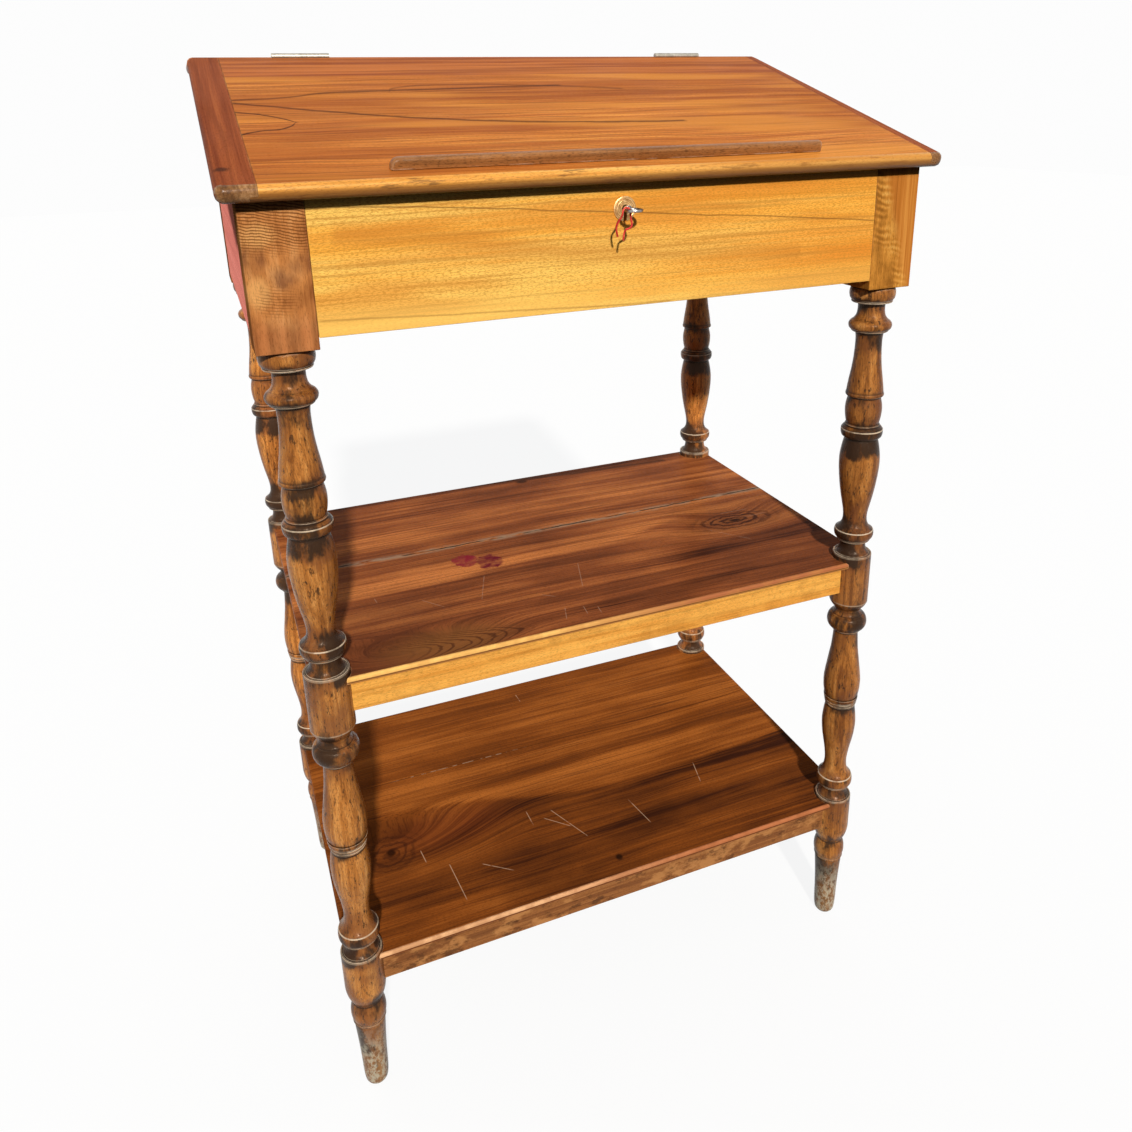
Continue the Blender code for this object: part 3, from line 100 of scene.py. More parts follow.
MIDDLE_TURNING = (
    ((231, 0), (226, 12), (218, 30), (203, 55), (184, 80), (168, 96), (160, 115), (158, 140), (170, 170),
     (184, 187)),
    ((191, 190), (216, 210), (232, 238), (240, 272), (241, 295), (236, 330), (222, 362), (202, 385),
     (188, 395)),
    ((179, 398), (181, 410), (173, 421)),
    ((155, 428), (151, 470), (157, 570), (168, 700), (184, 810), (201, 930), (217, 1040), (227, 1130),
     (229, 1190), (226, 1270), (216, 1345), (203, 1388)),
    ((203, 1392), (213, 1394), (214, 1400), (211, 1430), (206, 1448)),
    ((195, 1452), (195, 1459)),
    ((201, 1461), (204, 1474), (200, 1488)),
    ((189, 1492), (189, 1501)),
    ((193, 1503), (195, 1513), (191, 1524)),
    ((184, 1529), (190, 1575), (200, 1640), (208, 1710), (213, 1790), (210, 1880), (200, 1980), (184, 2080),
     (166, 2180), (152, 2270), (143, 2350), (140, 2410), (143, 2470), (152, 2525), (168, 2570), (190, 2604),
     (210, 2625)),
    ((217, 2630), (225, 2655), (229, 2695), (226, 2735), (212, 2765)),
    ((202, 2769), (205, 2782), (197, 2794)),
    ((158, 2800), (155, 2830), (157, 2865), (168, 2905), (188, 2935), (201, 2950)),
    ((205, 2960), (211, 2960), (213, 2954), (226, 2956), (231, 2966)),
)
FOOT_TURNING = (
    ((231, 0), (229, 30), (223, 75), (213, 120), (197, 165), (180, 200), (170, 220), (166, 238)),
    ((169, 245), (182, 285), (195, 335), (200, 385), (199, 430), (191, 475), (184, 500)),
    ((181, 503), (188, 510), (189, 522), (183, 534)),
    ((168, 538), (174, 560), (175, 580), (168, 690), (160, 820), (153, 960), (148, 1090), (145, 1210),
     (142, 1330), (136, 1420), (126, 1475), (106, 1505)),
)

# How dark the finish has gone up the leg: (height, share)
LEG_GRIME = (
    (0.0, 0.5), (0.02, 0.3), (0.06, 0.58), (0.088, 0.64), (0.105, 0.42), (0.127, 0.62), (0.15, 0.34),
    (0.185, 0.3), (0.199, 0.66), (0.215, 0.64), (0.232, 0.6), (0.26, 0.28), (0.3, 0.24), (0.335, 0.46),
    (0.346, 0.6), (0.375, 0.28), (0.4, 0.24), (0.44, 0.46), (0.467, 0.62), (0.483, 0.6), (0.5, 0.42),
    (0.535, 0.32), (0.559, 0.7), (0.575, 0.66), (0.59, 0.76), (0.612, 0.56), (0.65, 0.24), (0.685, 0.34),
    (0.703, 0.74), (0.715, 0.7), (0.73, 0.62), (0.748, 0.4), (0.761, 0.64), (0.78, 0.36), (0.81, 0.44),
    (0.838, 0.62), (0.848, 0.44), (0.86, 0.5), (0.873, 0.62), (0.884, 0.34), (0.891, 0.55),
)

# Shelves: the step (x, y) between pale and dark wood, tones behind it (y, tone) and ahead of it
# (y from the step, tone), and the colours of the front edge: its bead at the left and at the right,
# partly wear and partly painted highlight, and the wood under the bead
SHELF_FRONT = -0.20995
SHELVES = {
    "middle_shelf": {
        "shift": (1.7, 0.3, 0.0),
        "top": 0.5546,
        "step": (
            (-0.34, -0.044), (-0.18, -0.048), (-0.089, -0.041), (0.059, -0.034), (0.179, -0.003),
            (0.34, 0.006),
        ),
        "behind": (
            (-0.06, 0.84), (-0.03, 0.84), (0.0, 0.64), (0.025, 0.56), (0.042, 0.6), (0.06, 0.6),
            (0.09, 0.74), (0.1105, 0.72), (0.1125, 0.52), (0.13, 0.54), (0.17, 0.5), (0.21, 0.42),
            (0.24, 0.4),
        ),
        "ahead": (
            (-0.18, 0.42), (-0.14, 0.36), (-0.11, 0.42), (-0.08, 0.6), (-0.05, 0.62), (-0.02, 0.55),
            (0.002, 0.52),
        ),
        "ramp": (
            (0.12, (0.054, 0.015, 0.007)), (0.5, (0.311, 0.086, 0.026)), (0.88, (0.678, 0.226, 0.061)),
        ),
        "rims": ((0.9, 0.52, 0.15), (0.4, 0.13, 0.05), (0.52, 0.22, 0.06)),
    },
    "lower_shelf": {
        "shift": (4.9, 2.3, 0.0),
        "top": 0.196,
        "step": (
            (-0.34, 0.015), (-0.271, 0.0107), (-0.132, -0.011), (0.003, -0.048), (0.103, -0.057),
            (0.34, -0.047),
        ),
        "behind": (
            (-0.06, 0.72), (-0.035, 0.74), (-0.012, 0.8), (0.02, 0.48), (0.035, 0.52), (0.05, 0.62),
            (0.065, 0.55), (0.09, 0.6), (0.115, 0.66), (0.135, 0.54), (0.16, 0.48), (0.2, 0.4),
            (0.24, 0.36),
        ),
        "ahead": (
            (-0.22, 0.42), (-0.16, 0.4), (-0.12, 0.38), (-0.08, 0.4), (-0.05, 0.42), (-0.02, 0.4),
            (0.002, 0.42),
        ),
        "ramp": (
            (0.06, (0.045, 0.012, 0.005)), (0.5, (0.271, 0.071, 0.011)), (0.92, (0.542, 0.164, 0.028)),
        ),
        "rims": ((0.76, 0.42, 0.21), (0.46, 0.155, 0.06), (0.3, 0.1, 0.035)),
    },
}
MIDDLE_KNOT = (0.2425, -0.0417)

# Scratches on the shelves, each from one point (x, y) to another
MIDDLE_SCRATCHES = (
    ((-0.032, -0.171), (-0.034, -0.192)), ((-0.0175, -0.178), (-0.019, -0.196)),
    ((-0.113, -0.054), (-0.133, -0.112)), ((-0.197, -0.083), (-0.175, -0.111)),
    ((-0.246, -0.056), (-0.2445, -0.071)), ((0.002, -0.07), (-0.016, -0.132)),
    ((-0.052, -0.166), (-0.06, -0.193)), ((-0.068, -0.127), (-0.051, -0.14)),
    ((0.195, -0.055), (0.232, -0.102)), ((0.234, -0.015), (0.279, -0.016)),
    ((0.295, -0.037), (0.254, -0.038)),
)
LOWER_SCRATCHES = (
    ((-0.1951, -0.1086), (-0.1895, -0.1749)), ((-0.2232, -0.0715), (-0.2206, -0.0976)),
    ((-0.0769, -0.0583), (-0.0759, -0.0898)), ((-0.1579, -0.1247), (-0.1224, -0.1521)),
    ((-0.0063, 0.2), (-0.0049, 0.1769)), ((-0.0465, -0.0681), (-0.0175, -0.1351)),
    ((0.0579, -0.0921), (0.0676, -0.1455)), ((0.1751, -0.059), (0.1652, -0.1018)),
    ((-0.06, -0.08), (-0.03, -0.11)),
)

# Lid: its slope, the place (y, z) of a line across its face, 8 mm behind the front edge, and how far
# beyond that line the front edge's own finish may reach
LID_SLOPE = math.radians(16.8)
LID_LINE = (-0.23305, 1.0343)
NOSING_REACH = 0.011

# Ripples of curly walnut, in radians per metre
CURL = 900.0

ESCUTCHEON_RADIUS = 0.0115

# Widths of the rounded edges, and how close points have to be to count as one
WOOD_SOFTNESS = 0.0006
BLOCK_SOFTNESS = 0.0008
SHELF_SOFTNESS = 0.0008
STRIP_SOFTNESS = 0.0008
METAL_SOFTNESS = 0.0002
WELD_REACH = 2e-6

# Light and floor
SUN_TURN = math.radians(10)
SUN_RISE = math.radians(31)
SUN_WIDTH = math.radians(2.5)
SUN_STRENGTH = 3.9
SUN_COLOUR = (1.0, 0.96, 0.9)
SUN_DISTANCE = 4
FLOOR_REACH = 12
FLOOR_DROP = 0.0005


def make_camera():
    right = Vector((math.cos(CAMERA_YAW), -math.sin(CAMERA_YAW), 0))
    flat = math.cos(CAMERA_PITCH)
    ahead = Vector((math.sin(CAMERA_YAW) * flat, math.cos(CAMERA_YAW) * flat, -math.sin(CAMERA_PITCH)))
    up = right.cross(ahead)
    side = math.cos(CAMERA_ROLL) * right + math.sin(CAMERA_ROLL) * up
    top = math.cos(CAMERA_ROLL) * up - math.sin(CAMERA_ROLL) * right
    data = bpy.data.cameras.new("camera")
    data.sensor_width = 36
    data.lens = CAMERA_LENS
    data.shift_x, data.shift_y = CAMERA_SHIFT
    data.clip_start = 0.02
    camera = bpy.data.objects.new("camera", data)
    camera.matrix_world = Matrix.Translation(CAMERA_PLACE) @ Matrix((side, top, -ahead)).transposed().to_4x4()
    scene.collection.objects.link(camera)
    scene.camera = camera


def ribbon_side(runs, heading, depth):
    """Points of one side of the ribbon, from the top of its bend over the bow."""
    total = sum(length for length, turn in runs)
    x, z, gone = 0.0, BOW_TOUCH, 0.0
    points = [Vector((x, 0, z))]
    for length, turn in runs:
        count = max(1, round(length / RIBBON_STEP))
        half_turn = math.radians(turn) / count / 2
        for _ in range(count):
            heading += half_turn
            x += math.cos(heading) * length / count
            z += math.sin(heading) * length / count
            heading += half_turn
            gone += length / count
            share = min(max(gone / total * 1.6 - 0.3, 0.0), 1.0)
            points.append(Vector((x, depth * share ** 2 * (3 - 2 * share), z)))
    return points


def make_ribbon():
    left = ribbon_side(RIBBON_LEFT, math.pi, RIBBON_LEFT_DEPTH)
    right = ribbon_side(RIBBON_RIGHT, 0.0, RIBBON_RIGHT_DEPTH)
    points = [BOW_SIDE + point for point in left[::-1] + right[1:]]
    curve = bpy.data.curves.new("ribbon_cord", "CURVE")
    curve.dimensions = "3D"
    curve.bevel_depth = 1.0
    curve.bevel_resolution = 4
    curve.use_fill_caps = True
    spline = curve.splines.new("POLY")
    spline.points.add(len(points) - 1)
    for spot, point in zip(spline.points, points):
        spot.co = (*point, 1)
        spot.radius = RIBBON_DIAMETER / 2
    ribbon = bpy.data.objects.new("ribbon_cord", curve)
    scene.collection.objects.link(ribbon)
    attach(ribbon, "key")
    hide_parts("key_ribbon")
    return ribbon


class Graph:
    """Shader nodes of a material or the world, written as sums; colour is what has been laid on so far."""

    def __init__(self, owner, end, place):
        owner.use_nodes = True
        self.owner = owner
        self.tree = owner.node_tree
        self.tree.nodes.clear()
        self.end = self.node(end)
        self.place = self.node("ShaderNodeTexCoord").outputs[place]
        self.x, self.y, self.z = self.split(self.place)
        self.colour = None

    def node(self, kind, **settings):
        made = self.tree.nodes.new(kind)
        for name, value in settings.items():
            setattr(made, name, value)
        return made

    def put(self, socket, value):
        if isinstance(value, bpy.types.NodeSocket):
            self.tree.links.new(value, socket)
        else:
            socket.default_value = value

    def made(self, kind, *values, **settings):
        """First output of a new node, with values put in its first inputs."""
        node = self.node(kind, **settings)
        for socket, value in zip(node.inputs, values):
            self.put(socket, value)
        return node.outputs[0]

    def op(self, kind, *values):
        return self.made("ShaderNodeMath", *values, operation=kind)

    def chain(self, kind, values):
        total = values[0]
        for value in values[1:]:
            total = self.op(kind, total, value)
        return total

    def add(self, *values):
        return self.chain("ADD", values)

    def times(self, *values):
        return self.chain("MULTIPLY", values)

    def most(self, *values):
        return self.chain("MAXIMUM", values)

    def take(self, a, b):
        return self.op("SUBTRACT", a, b)

    def split(self, vector):
        made = self.node("ShaderNodeSeparateXYZ")
        self.put(made.inputs[0], vector)
        return made.outputs[0], made.outputs[1], made.outputs[2]

    def join(self, x, y, z):
        return self.made("ShaderNodeCombineXYZ", x, y, z)

    def scaled(self, vector, scale, shift=(0, 0, 0)):
        return self.made("ShaderNodeVectorMath", vector, scale, shift, operation="MULTIPLY_ADD")

    def noise(self, vector, scale, detail=3.0, rough=0.55, shift=(0, 0, 0)):
        made = self.node("ShaderNodeTexNoise")
        scales = scale if isinstance(scale, tuple) else (scale, scale, scale)
        self.put(made.inputs["Vector"], self.scaled(vector, scales, shift))
        self.put(made.inputs["Scale"], 1.0)
        self.put(made.inputs["Detail"], detail)
        self.put(made.inputs["Roughness"], rough)
        return made.outputs[0]

    def drift(self, amount, *noise):
        """Noise about 0."""
        return self.times(self.take(self.noise(*noise), 0.5), amount)

    def level(self, value, low, high, start=0.0, end=1.0, kind="LINEAR"):
        return self.made("ShaderNodeMapRange", value, low, high, start, end, interpolation_type=kind)

    def fade(self, *numbers):
        return self.level(*numbers, kind="SMOOTHSTEP")

    def ramp(self, value, stops):
        made = self.node("ShaderNodeValToRGB")
        self.put(made.inputs[0], value)
        line = made.color_ramp.elements
        while len(line) < len(stops):
            line.new(0.5)
        for spot, (place, colour) in zip(line, stops):
            spot.position = place
            spot.color = (*colour, 1)
        return made.outputs[0]

    def grade(self, value, tones, spread=0.09):
        """Dark, middle and light tones about a value of a half."""
        return self.ramp(value, tuple(zip((0.5 - spread, 0.5, 0.5 + spread), tones)))

    def mix(self, share, a, b):
        made = self.node("ShaderNodeMix", data_type="RGBA")
        self.put(made.inputs[0], share)
        for socket, value in ((made.inputs[6], a), (made.inputs[7], b)):
            self.put(socket, (*value, 1) if isinstance(value, tuple) else value)
        return made.outputs[2]

    def lay(self, tone, *shares):
        """Lays a tone over the colour, by the product of the shares."""
        self.colour = self.mix(self.times(*shares), self.colour, tone)

    def blot(self, tone, u, v, centre, radii, inner, depth):
        """Lays an oval patch, full within the inner share of its radii."""
        self.lay(tone, self.fade(self.oval(u, v, centre, radii), 1.0, inner), depth)

    def bands(self, value, points):
        """Tone of a curve through (value, tone) points."""
        start, end = points[0][0], points[-1][0]
        made = self.node("ShaderNodeFloatCurve")
        curve = made.mapping.curves[0]
        while len(curve.points) < len(points):
            curve.points.new(0.5, 0.5)
        for spot, (place, tone) in zip(curve.points, points):
            spot.location = ((place - start) / (end - start), tone)
        made.mapping.update()
        self.put(made.inputs[1], self.level(value, start, end))
        return made.outputs[0]

    def path(self, u, points, margin=0.0):
        """Place v of a curve through (u, v) points."""
        low = min(v for _, v in points) - margin
        high = max(v for _, v in points) + margin
        share = self.bands(u, [(place, (v - low) / (high - low)) for place, v in points])
        return self.op("MULTIPLY_ADD", share, high - low, low)

    def line(self, u, v, points, width, wobble=0.0):
        """Share of a thin line that follows points (u, v), 1 on the line."""
        start, end = points[0][0], points[-1][0]
        gap = self.add(self.take(v, self.path(u, points, 0.001)), wobble)
        near = self.fade(self.op("ABSOLUTE", gap), 0.0, width, 1.0, 0.0)
        begun = self.fade(u, start - 0.004, start + 0.004)
        return self.times(near, begun, self.fade(u, end + 0.004, end - 0.004))

    def oval(self, u, v, centre, radii):
        """Distance from an oval's centre, 1 on the oval."""
        across = self.op("DIVIDE", self.take(u, centre[0]), radii[0])
        down = self.op("DIVIDE", self.take(v, centre[1]), radii[1])
        return self.op("SQRT", self.add(self.times(across, across), self.times(down, down)))

    def edge(self, radius):
        """Share of nearness to a corner, 1 on the edge."""
        soft = self.node("ShaderNodeBevel", samples=4)
        self.put(soft.inputs[0], radius)
        shape = self.node("ShaderNodeNewGeometry")
        dot = self.node("ShaderNodeVectorMath", operation="DOT_PRODUCT")
        self.put(dot.inputs[0], soft.outputs[0])
        self.put(dot.inputs[1], shape.outputs["Normal"])
        return self.fade(dot.outputs["Value"], 0.99, 0.88)

    def mark(self, name):
        """Number kept on the mesh's points under a name."""
        return self.node("ShaderNodeAttribute", attribute_name=name).outputs["Fac"]

    def seen(self):
        """1 for rays that see a surface, straight or in a gloss, and 0 for rays that gather its light."""
        rays = self.node("ShaderNodeLightPath").outputs
        return self.most(rays["Is Camera Ray"], rays["Is Glossy Ray"], rays["Is Transmission Ray"])

    def finish(self, rough, height, strength=0.2, depth=0.0006, specular=0.5, **constants):
        """Ends the graph in a shader with the colour laid on."""
        shader = self.node("ShaderNodeBsdfPrincipled")
        bump = self.node("ShaderNodeBump")
        self.put(bump.inputs["Strength"], strength)
        self.put(bump.inputs["Distance"], depth)
        self.put(bump.inputs["Height"], height)
        self.put(shader.inputs["Base Color"], self.colour)
        self.put(shader.inputs["Roughness"], rough)
        self.put(shader.inputs["Specular IOR Level"], specular)
        self.put(shader.inputs["Normal"], bump.outputs[0])
        for name, value in constants.items():
            self.put(shader.inputs[name.replace("_", " ")], value)
        self.put(self.end.inputs[0], shader.outputs[0])
        return self.owner

    def finish_mixed(self, share, first, second):
        """Ends the graph in two shaders, with the second one's share."""
        mixed = self.made("ShaderNodeMixShader", share, first.outputs[0], second.outputs[0])
        self.put(self.end.inputs[0], mixed)
        return self.owner


def material_graph(name):
    return Graph(bpy.data.materials.new(name), "ShaderNodeOutputMaterial", "Object")


class Grain:
    """Wood figure in a frame with the grain along its first axis."""

    def __init__(self, graph, along, across, through, shift=(0, 0, 0), sway=0.02, rings=9.0):
        g = graph
        self.g = g
        start = g.scaled(g.join(along, across, through), (1, 1, 1), shift)
        bend = g.drift(sway, start, (1.6, 7, 7), 2.0)
        ripple = g.drift(sway * 0.12, start, (14, 40, 40), 2.0)
        u, v, w = g.split(start)
        self.at = g.join(u, g.add(v, g.add(bend, ripple)), w)
        self.broad = g.noise(self.at, (0.9, 15, 15), 2.0)
        self.streak = g.noise(self.at, (2.2, 80, 80), 4.0, 0.6)
        self.thin = g.noise(self.at, (3.6, 290, 290), 3.0, 0.6)
        self.hair = g.noise(self.at, (6, 480, 480), 3.0, 0.6)
        self.fine = g.noise(self.at, (14, 800, 800), 2.0)
        self.pores = g.fade(g.noise(self.at, (260, 1500, 1500), 2.0, 0.6), 0.515, 0.64)
        turn = g.times(g.add(self.broad, g.times(self.streak, 0.1)), 2 * math.pi * rings)
        self.rings = g.fade(g.op("SINE", turn), 0.62, 1.0)

    def tone(self, broad=0.32, streak=0.32, thin=0.24, fine=0.12):
        figures = ((self.broad, broad), (self.streak, streak), (self.thin, thin), (self.fine, fine))
        return self.g.add(*[self.g.times(figure, share) for figure, share in figures])

    def relief(self, fine=0.5, pores=0.8):
        return self.g.take(self.g.times(self.fine, fine), self.g.times(self.pores, pores))


def shade(colour, factor):
    return tuple(min(part * factor, 0.97) for part in colour)


def wood(g, grain, tones, pores=0.45, rings=0.25, rough=0.38, wear=0.35, wear_tone=(0.62, 0.36, 0.14),
         marks=None, edge=0.0025, spread=0.09, **constants):
    """Finished wood of dark, middle and light tones; marks lays more over it before the edges are laid paler,
    as wear and, on the book ledge, also as a painted highlight.
    """
    g.colour = g.grade(grain.tone(), tones, spread)
    g.lay(shade(tones[0], 0.6), grain.rings, rings)
    g.lay(shade(tones[0], 0.5), grain.pores, pores)
    if marks is not None:
        marks()
    g.lay(wear_tone, g.edge(edge), g.fade(g.noise(g.place, 60, 4.0), 0.4, 0.62), wear)
    gloss = g.add(g.drift(0.22, g.place, 14, 3.0), rough, g.times(grain.pores, pores * 0.22))
    return g.finish(gloss, grain.relief(), **constants)


def lid_place(g):
    """Distance up the slope from the lid's line, and height above the lid's face."""
    down = g.take(g.y, LID_LINE[0])
    rise = g.take(g.z, LID_LINE[1])
    slope = g.add(g.times(down, math.cos(LID_SLOPE)), g.times(rise, math.sin(LID_SLOPE)))
    above = g.take(g.times(rise, math.cos(LID_SLOPE)), g.times(down, math.sin(LID_SLOPE)))
    return slope, above


def axes(g, letters):
    """Desk axes x, y and z, or s up the lid's slope and h above its face."""
    places = {"x": g.x, "y": g.y, "z": g.z}
    if "s" in letters:
        places["s"], places["h"] = lid_place(g)
    return [places[letter] for letter in letters]


def plain_wood(name, letters, shift, sway, *tones, **settings):
    """Wood without marks; the letters are the axes along, across and through its grain."""
    g = material_graph(name)
    return wood(g, Grain(g, *axes(g, letters), shift, sway), tones, **settings)


def side_material():
    return plain_wood(
        "side_panel_walnut", "yzx", (0.7, 1.9, 0.0), 0.02, (0.28, 0.085, 0.03), (0.46, 0.155, 0.055),
        (0.6, 0.24, 0.09), rough=0.44, wear=0.2, specular=0.05
    )


def painted_sheen_side_material():
    """Outside of the left panel: pale pink tones, a painted reflection of the sky on this grazing face, with
    a pink sheen.
    """
    return plain_wood(
        "painted_sheen_side_walnut", "yzx", (0.7, 1.9, 0.0), 0.02, (0.66, 0.19, 0.13), (0.8, 0.27, 0.19),
        (0.9, 0.36, 0.27), rough=0.5, rings=0.05, wear=0.1, specular=0.0, Sheen_Weight=0.25,
        Sheen_Roughness=0.4, Sheen_Tint=(1.0, 0.3, 0.26, 1.0)
    )


def back_material():
    return plain_wood(
        "back_panel_walnut", "xzy", (8.3, 2.7, 0.0), 0.03, (0.27, 0.092, 0.024), (0.44, 0.165, 0.045),
        (0.58, 0.25, 0.075), rough=0.46, specular=0.05
    )


def ledge_material():
    return plain_wood(
        "back_ledge_walnut", "xyz", (5.3, 3.2, 0.0), 0.03, (0.28, 0.075, 0.03), (0.46, 0.14, 0.045),
        (0.6, 0.21, 0.065), rough=0.36, wear=0.25, specular=0.05
    )


def pine_material():
    return plain_wood(
        "inner_pine", "xyz", (0.3, 0.9, 0.0), 0.02, (0.34, 0.19, 0.085), (0.46, 0.29, 0.14),
        (0.56, 0.38, 0.2), pores=0.2, rough=0.6, wear=0.15, wear_tone=(0.5, 0.36, 0.2), specular=0.2
    )


def strip_material():
    # Pale edges: partly wear, partly a painted highlight along the top edge.
    return plain_wood(
        "book_ledge_walnut", "xsh", (6.2, 4.1, 0.0), 0.01, (0.09, 0.03, 0.009), (0.22, 0.078, 0.019),
        (0.36, 0.145, 0.042), pores=0.6, rough=0.3, wear=0.85, edge=0.003, wear_tone=(0.8, 0.58, 0.38),
        specular=0.15
    )


def cleat_end_material():
    return plain_wood(
        "cleat_end_walnut", "sxh", (1.2, 3.1, 0.0), 0.01, (0.1, 0.04, 0.013), (0.25, 0.11, 0.036),
        (0.42, 0.22, 0.09), pores=0.5, rings=0.3, rough=0.26, wear=0.4, specular=0.15
    )


def painted_shade_lid_underside(g, slope, above):
    """Painted shade on the underside of the lid's front overhang."""
    g.lay((0.03, 0.014, 0.007), g.fade(above, -0.0132, -0.0148), g.fade(slope, 0.022, 0.014), 0.9)


def painted_shade_below_lid(g):
    """Painted shade on the front of the case, close under the lid's overhang, darker towards the top."""
    g.lay((0.045, 0.018, 0.008), g.fade(g.z, 1.007, 1.016), 0.55)


def panel_material():
    g = material_graph("front_panel_walnut")
    grain = Grain(g, g.x, g.z, g.y, (3.1, 0.4, 0.0), 0.018, 7.0)
    wave = g.drift(0.004, g.place, (16, 30, 30), 2.0)
    crack = ((-0.345, 1.012), (-0.212, 1.008), (-0.065, 0.997), (0.291, 0.966))
    low = ((-0.29, 0.9163), (-0.229, 0.9135), (-0.122, 0.9086), (0.05, 0.902))
    brown = ((-0.27, 0.989), (-0.184, 0.98), (-0.06, 0.959), (0.2, 0.94))

    def marks():
        g.lay((0.68, 0.25, 0.032), g.fade(g.noise(grain.at, (2.6, 26, 26), 3.0), 0.48, 0.62), 0.6)
        warm = g.fade(g.noise(grain.at, (1.4, 20, 20), 2.0), 0.4, 0.6)
        g.lay((0.74, 0.255, 0.03), g.fade(g.x, -0.12, 0.16), warm, 0.85)
        g.lay((0.46, 0.16, 0.02), g.fade(grain.thin, 0.5, 0.66), 0.5)
        g.lay((0.5, 0.19, 0.022), g.fade(g.noise(grain.at, (300, 1000, 1000), 2.0, 0.65), 0.48, 0.6), 0.55)
        g.lay((0.52, 0.18, 0.025), g.line(g.x, g.z, brown, 0.016, wave), 0.4)
        g.lay((0.96, 0.62, 0.155), g.fade(g.z, 0.935, 0.905), g.fade(g.x, 0.1, -0.15, 0.25, 0.6))
        g.lay((0.26, 0.1, 0.02), g.line(g.x, g.z, low, 0.0016, wave), 0.45)
        g.lay((0.13, 0.05, 0.014), g.line(g.x, g.z, crack, 0.0012, wave), 0.62)
        # Painted shade under the lid's overhang.
        painted_shade_below_lid(g)

    tones = ((0.7, 0.285, 0.033), (0.94, 0.455, 0.07), (0.97, 0.61, 0.14))
    return wood(g, grain, tones, pores=0.4, rings=0.08, rough=0.4, wear=0.15, marks=marks, specular=0.04)


def lid_material():
    g = material_graph("lid_board_walnut")
    slope, above = lid_place(g)
    grain = Grain(g, g.x, slope, above, (1.3, 0.2, 0.0), 0.045, 8.0)
    wave = g.drift(0.007, g.place, (25, 60, 60), 3.0)
    flat = g.join(g.x, slope, 0.0)
    upper = ((-0.3288, 0.2246), (-0.282, 0.2301), (-0.232, 0.2445), (-0.127, 0.2527), (0.03, 0.262))
    lower = ((-0.328, 0.2165), (-0.2418, 0.1825), (-0.1747, 0.16), (-0.013, 0.131), (0.12, 0.125))
    third = ((-0.168, 0.2457), (-0.0955, 0.2702), (-0.0123, 0.2637), (0.1, 0.245))
    tip = ((-0.335, 0.1887), (-0.304, 0.177), (-0.2858, 0.1627), (-0.276, 0.1525))
    tail = ((-0.335, 0.116), (-0.3094, 0.1284), (-0.2895, 0.1337), (-0.276, 0.1525))
    lines = (
        (upper, 0.0046, 0.7), (lower, 0.0046, 0.78), (third, 0.005, 0.48),
        (tip, 0.003, 0.95), (tail, 0.003, 0.95),
    )

    def marks():
        zone = g.noise(flat, (2.2, 17, 1), 2.0, 0.5, (4.0, 1.0, 0))
        g.lay((0.37, 0.098, 0.019), g.fade(zone, 0.46, 0.62), 0.6)
        g.lay((0.2, 0.05, 0.01), g.fade(grain.thin, 0.53, 0.65), 0.75)
        g.lay((0.17, 0.042, 0.01), g.fade(grain.hair, 0.52, 0.64), 0.5)
        gold = g.noise(flat, (2.4, 20, 1), 2.0, 0.5, (9.0, 5.0, 0))
        g.lay((0.64, 0.245, 0.042), g.fade(gold, 0.5, 0.64), 0.65)
        for points, width, depth in lines:
            g.lay((0.048, 0.011, 0.004), g.line(g.x, slope, points, width, wave), depth)
        red = g.mix(g.fade(grain.streak, 0.38, 0.62), (0.25, 0.06, 0.02), (0.47, 0.137, 0.036))
        g.lay(red, g.fade(slope, 0.3065, 0.3085), 0.8)
        # Painted shade under the lid's front overhang.
        painted_shade_lid_underside(g, slope, above)

    tones = ((0.345, 0.09, 0.017), (0.58, 0.185, 0.034), (0.77, 0.305, 0.062))
    return wood(
        g, grain, tones, pores=0.4, rings=0.2, rough=0.42, wear=0.2, marks=marks, spread=0.08, specular=0.01
    )


def nosing_material():
    g = material_graph("lid_nosing_walnut")
    slope, above = lid_place(g)
    grain = Grain(g, g.x, above, slope, (4.4, 1.8, 0.0), 0.01)

    def marks():
        g.lay((0.07, 0.028, 0.01), g.fade(g.noise(grain.at, (22, 160, 160), 4.0, 0.65), 0.56, 0.66), 0.65)
        g.lay((0.44, 0.165, 0.026), g.fade(g.x, -0.1, 0.2), 0.6)
        # Darker towards the bottom of the front edge, partly dirt and partly painted shade of its downturned
        # half, then near black on its underside, painted shade under the overhang.
        g.lay((0.22, 0.08, 0.016), g.fade(above, -0.0035, -0.0075), 0.72)
        g.lay((0.05, 0.02, 0.009), g.fade(above, -0.0095, -0.014), 0.9)

    tones = ((0.5, 0.185, 0.026), (0.78, 0.345, 0.06), (0.92, 0.52, 0.135))
    return wood(g, grain, tones, pores=0.5, rings=0.1, rough=0.3, wear=0.3, marks=marks, specular=0.2)


def cleat_material():
    g = material_graph("lid_cleat_walnut")
    slope, above = lid_place(g)
    grain = Grain(g, slope, g.x, above, (2.2, 7.1, 0.0), 0.012)

    def marks():
        g.blot((0.05, 0.016, 0.008), g.x, slope, (-0.351, 0.034), (0.009, 0.007), 0.3, 0.8)
        # Painted shade under the lid's front overhang.
        painted_shade_lid_underside(g, slope, above)

    tones = ((0.19, 0.039, 0.011), (0.3, 0.072, 0.02), (0.41, 0.115, 0.032))
    return wood(g, grain, tones, rough=0.42, wear=0.3, marks=marks, specular=0.01)


